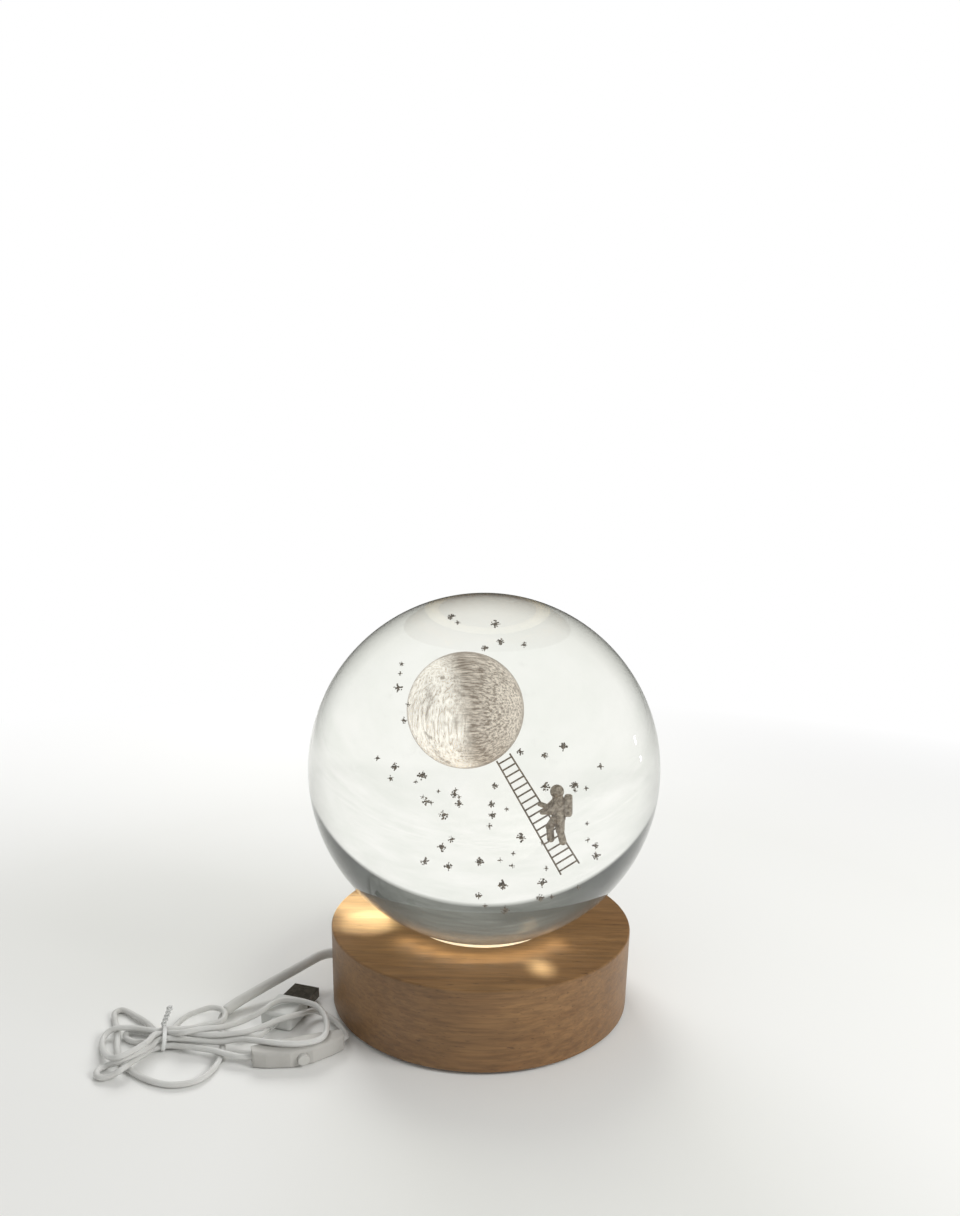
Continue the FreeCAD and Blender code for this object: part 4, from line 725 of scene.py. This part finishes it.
def soft_floor():
    """A pale floor that keeps the lamp's shadow and turns into the white backdrop further out; rays through
    the glass see a painted floor instead, a dark brown painted shadow round the base and pale painted mottle
    further out.
    """
    form = bmesh.new()
    bmesh.ops.create_grid(form, x_segments=8, y_segments=8, size=4.0)
    mesh = bpy.data.meshes.new("floor")
    form.to_mesh(mesh)
    form.free()
    floor = bpy.data.objects.new("floor", mesh)
    bpy.context.scene.collection.objects.link(floor)
    material, tree, skin, out = blank_material("pale_floor")
    place = tree.nodes.new("ShaderNodeTexCoord").outputs["Object"]
    tone = blend_colors(tree, noise(tree, place, 3, 2), srgb(228, 228, 225), srgb(233, 233, 231))
    tree.links.new(tone, skin.inputs["Base Color"])
    set_inputs(tree, skin, dict(Roughness=0.8, Specular_IOR_Level=0.1))
    reach = add(tree, "VectorMath", dict(operation="LENGTH"), Vector=place).outputs["Value"]
    rays = tree.nodes.new("ShaderNodeLightPath").outputs
    backdrop = add(tree, "Emission", Color=WHITE, Strength=1.0)
    # Painted reflection: mottle for rays through the glass, in place of faint reflections.
    painted_mottle = noise(tree, stretched(tree, place, (9, 3, 1)), 1.0, 5, 0.65)
    pale = blend_colors(tree, spread(tree, painted_mottle, 0.35, 0.65), PAINTED_MOTTLE_LOW, PAINTED_MOTTLE_HIGH)
    # Painted shadow: through the glass, the floor shows dark brown close round the base.
    painted_base_shadow = blend_colors(tree, spread(tree, reach, 0.075, 0.1), srgb(120, 112, 100), srgb(238, 238, 231))
    through = blend_colors(tree, spread(tree, reach, 0.1, 0.2), painted_base_shadow, pale)
    # Painted light: this emission is the floor as rays through the glass see it.
    painted_floor_through_glass = add(tree, "Emission", Color=through, Strength=1.0)
    far = math_node(tree, "MULTIPLY", spread(tree, reach, 0.3, 0.75), rays["Is Camera Ray"])
    plain = mixed(tree, far, skin.outputs[0], backdrop.outputs[0])
    surface = mixed(tree, rays["Is Transmission Ray"], plain, painted_floor_through_glass.outputs[0])
    tree.links.new(surface, out.inputs["Surface"])
    mesh.materials.append(material)


def aimed_lamp(name, light, place, aim):
    """A lamp turned towards what it lights; it is never seen through the glass, and not in gloss."""
    lamp = bpy.data.objects.new(name, light)
    place, aim = Vector(place), Vector(aim)
    turn = (aim - place).to_track_quat("-Z", "Y").to_matrix().to_4x4()
    lamp.matrix_world = Matrix.Translation(place) @ turn
    lamp.visible_glossy = lamp.visible_transmission = False
    bpy.context.scene.collection.objects.link(lamp)
    return lamp


def soft_box(name, place, aim, size, power, color=WHITE):
    light = bpy.data.lights.new(name, "AREA")
    light.shape, light.size, light.size_y = "RECTANGLE", *size
    light.energy, light.color = power, color
    lamp = aimed_lamp(name, light, place, aim)
    lamp.visible_camera = False
    return lamp


def warm_spot(name, place, aim, angle, power, color):
    """A narrow beam on the wood, in place of the light that the ball gathers there."""
    light = bpy.data.lights.new(name, "SPOT")
    light.spot_size, light.spot_blend, light.shadow_soft_size = math.radians(angle), 0.7, 0.004
    light.energy, light.color = power, color
    aimed_lamp(name, light, place, aim)


def studio_world():
    """Even room light and a white backdrop; rays through the glass see a painted dark band overhead, darker
    still to the sides, and gloss sees a painted back that darkens towards the far side.
    """
    world = bpy.data.worlds.new("studio")
    world.use_nodes = True
    tree = world.node_tree
    tree.nodes.clear()
    place = tree.nodes.new("ShaderNodeTexCoord").outputs["Generated"]
    way = add(tree, "SeparateXYZ", Vector=place).outputs
    rays = tree.nodes.new("ShaderNodeLightPath").outputs
    bow = math_node(tree, "MULTIPLY", math_node(tree, "MULTIPLY", way["X"], way["X"]), 0.2)
    # Painted shade seen through the glass: a dark band overhead that only rays through the glass see.
    painted_band_overhead = spread(tree, math_node(tree, "ADD", way["Z"], bow), 0.25, 0.285)
    # Painted reflection: mottle for rays through the glass, in place of faint reflections.
    painted_mottle = noise(tree, stretched(tree, place, (3, 3, 12)), 1.0, 5, 0.65)
    pale = blend_colors(tree, spread(tree, painted_mottle, 0.35, 0.65), PAINTED_MOTTLE_LOW, PAINTED_MOTTLE_HIGH)
    grey = blend_colors(tree, spread(tree, painted_mottle, 0.35, 0.65), srgb(112, 114, 109), srgb(142, 145, 139))
    aside = spread(tree, math_node(tree, "ABSOLUTE", way["X"]), 0.2, 0.6)
    grey = blend_colors(tree, aside, grey, srgb(72, 75, 74))
    through = blend_colors(tree, painted_band_overhead, pale, grey)
    # Painted reflection: a back that darkens towards the far side, seen only in gloss.
    painted_gloss_back = blend_colors(tree, spread(tree, way["Y"], 0.6, 0.92), srgb(150, 152, 148), srgb(58, 58, 56))
    seen = add(tree, "Background", Color=WHITE, Strength=1.0)
    glass = add(tree, "Background", Color=through, Strength=1.0)
    gloss = add(tree, "Background", Color=painted_gloss_back, Strength=1.0)
    room = add(tree, "Background", Color=srgb(250, 250, 248), Strength=0.42)
    surface = room.outputs[0]
    for name, ground in (("Is Glossy Ray", gloss), ("Is Transmission Ray", glass), ("Is Camera Ray", seen)):
        surface = mixed(tree, rays[name], surface, ground.outputs[0])
    out = tree.nodes.new("ShaderNodeOutputWorld")
    tree.links.new(surface, out.inputs["Surface"])
    bpy.context.scene.world = world


SPOT_COLOR = (0.7, 0.86, 1)
CREAM = (1, 0.94, 0.76)
SEAT_LAMPS, SEAT_LAMP_RADIUS = 8, 41.5 * MM


def studio():
    """White floor and backdrop, three soft lamps, two small highlights and the glow on the wood."""
    soft_floor()
    studio_world()
    soft_box("side_light", (0.75, -0.35, 0.6), (0, 0, 0.08), (0.4, 0.4), 6)
    soft_box("front_fill", (-0.4, -0.9, 0.8), (0, 0, 0.05), (0.7, 0.7), 1.2)
    soft_box("back_light", (-0.25, 0.8, 0.7), (0, 0, 0.04), (0.5, 0.5), 6.5)
    windows = (("upper_window", (0.8, 0.3, 0.2), 0.05), ("lower_window", (0.82, 0.34, 0.09), 0.03))
    for name, place, height in windows:
        window = soft_box(name, place, BALL_CENTRE, (0.02, height), 0.05)
        window.visible_glossy, window.visible_diffuse = True, False
    warm_spot("warm_patch", (-0.27, 0.12, 0.33), (-0.0525, 0.008, BASE_TOP), 5.4, 46, SPOT_COLOR)
    warm_spot("warm_edge", (-0.26, -0.05, 0.33), (-0.0495, -0.0085, BASE_TOP), 4.4, 30, SPOT_COLOR)
    warm_spot("warm_crescent", (0.12, -0.42, 0.42), (0.0245, -0.0475, BASE_TOP), 0.9, 100, SPOT_COLOR)
    for step in range(SEAT_LAMPS):
        turn = math.radians(-138 + 14 * step)
        across, back = SEAT_LAMP_RADIUS * math.cos(turn), SEAT_LAMP_RADIUS * math.sin(turn)
        place, aim = (across, back, BASE_TOP + 5 * MM), (across, back, BASE_TOP)
        soft_box(f"warm_seat_{step}", place, aim, (0.007, 0.007), 0.0007, CREAM)


# ---- the lamp ----

SLOT_OF = {row["node"]: row["material_slot"] for row in frame["record"]["subparts"]}
MATERIALS = lamp_materials()
OWN_LOOK = {"engraved_moon": "moon", "engraved_climber": "figure"}


def dress_cad_nodes():
    for node, thing in frame["nodes"].items():
        slot = SLOT_OF[node]
        thing.data.materials.clear()
        thing.data.materials.append(MATERIALS[OWN_LOOK.get(node, slot)])


dress_cad_nodes()
place_camera()
first_cord, second_cord = lead()
first_line, second_line = centreline(first_cord), centreline(second_cord)
sleeve = lead_sleeve(first_line)
tie = twisted_tie()
glass_ball()
engraved_bursts()
studio()

bpy.context.scene.view_settings.view_transform = "Standard"
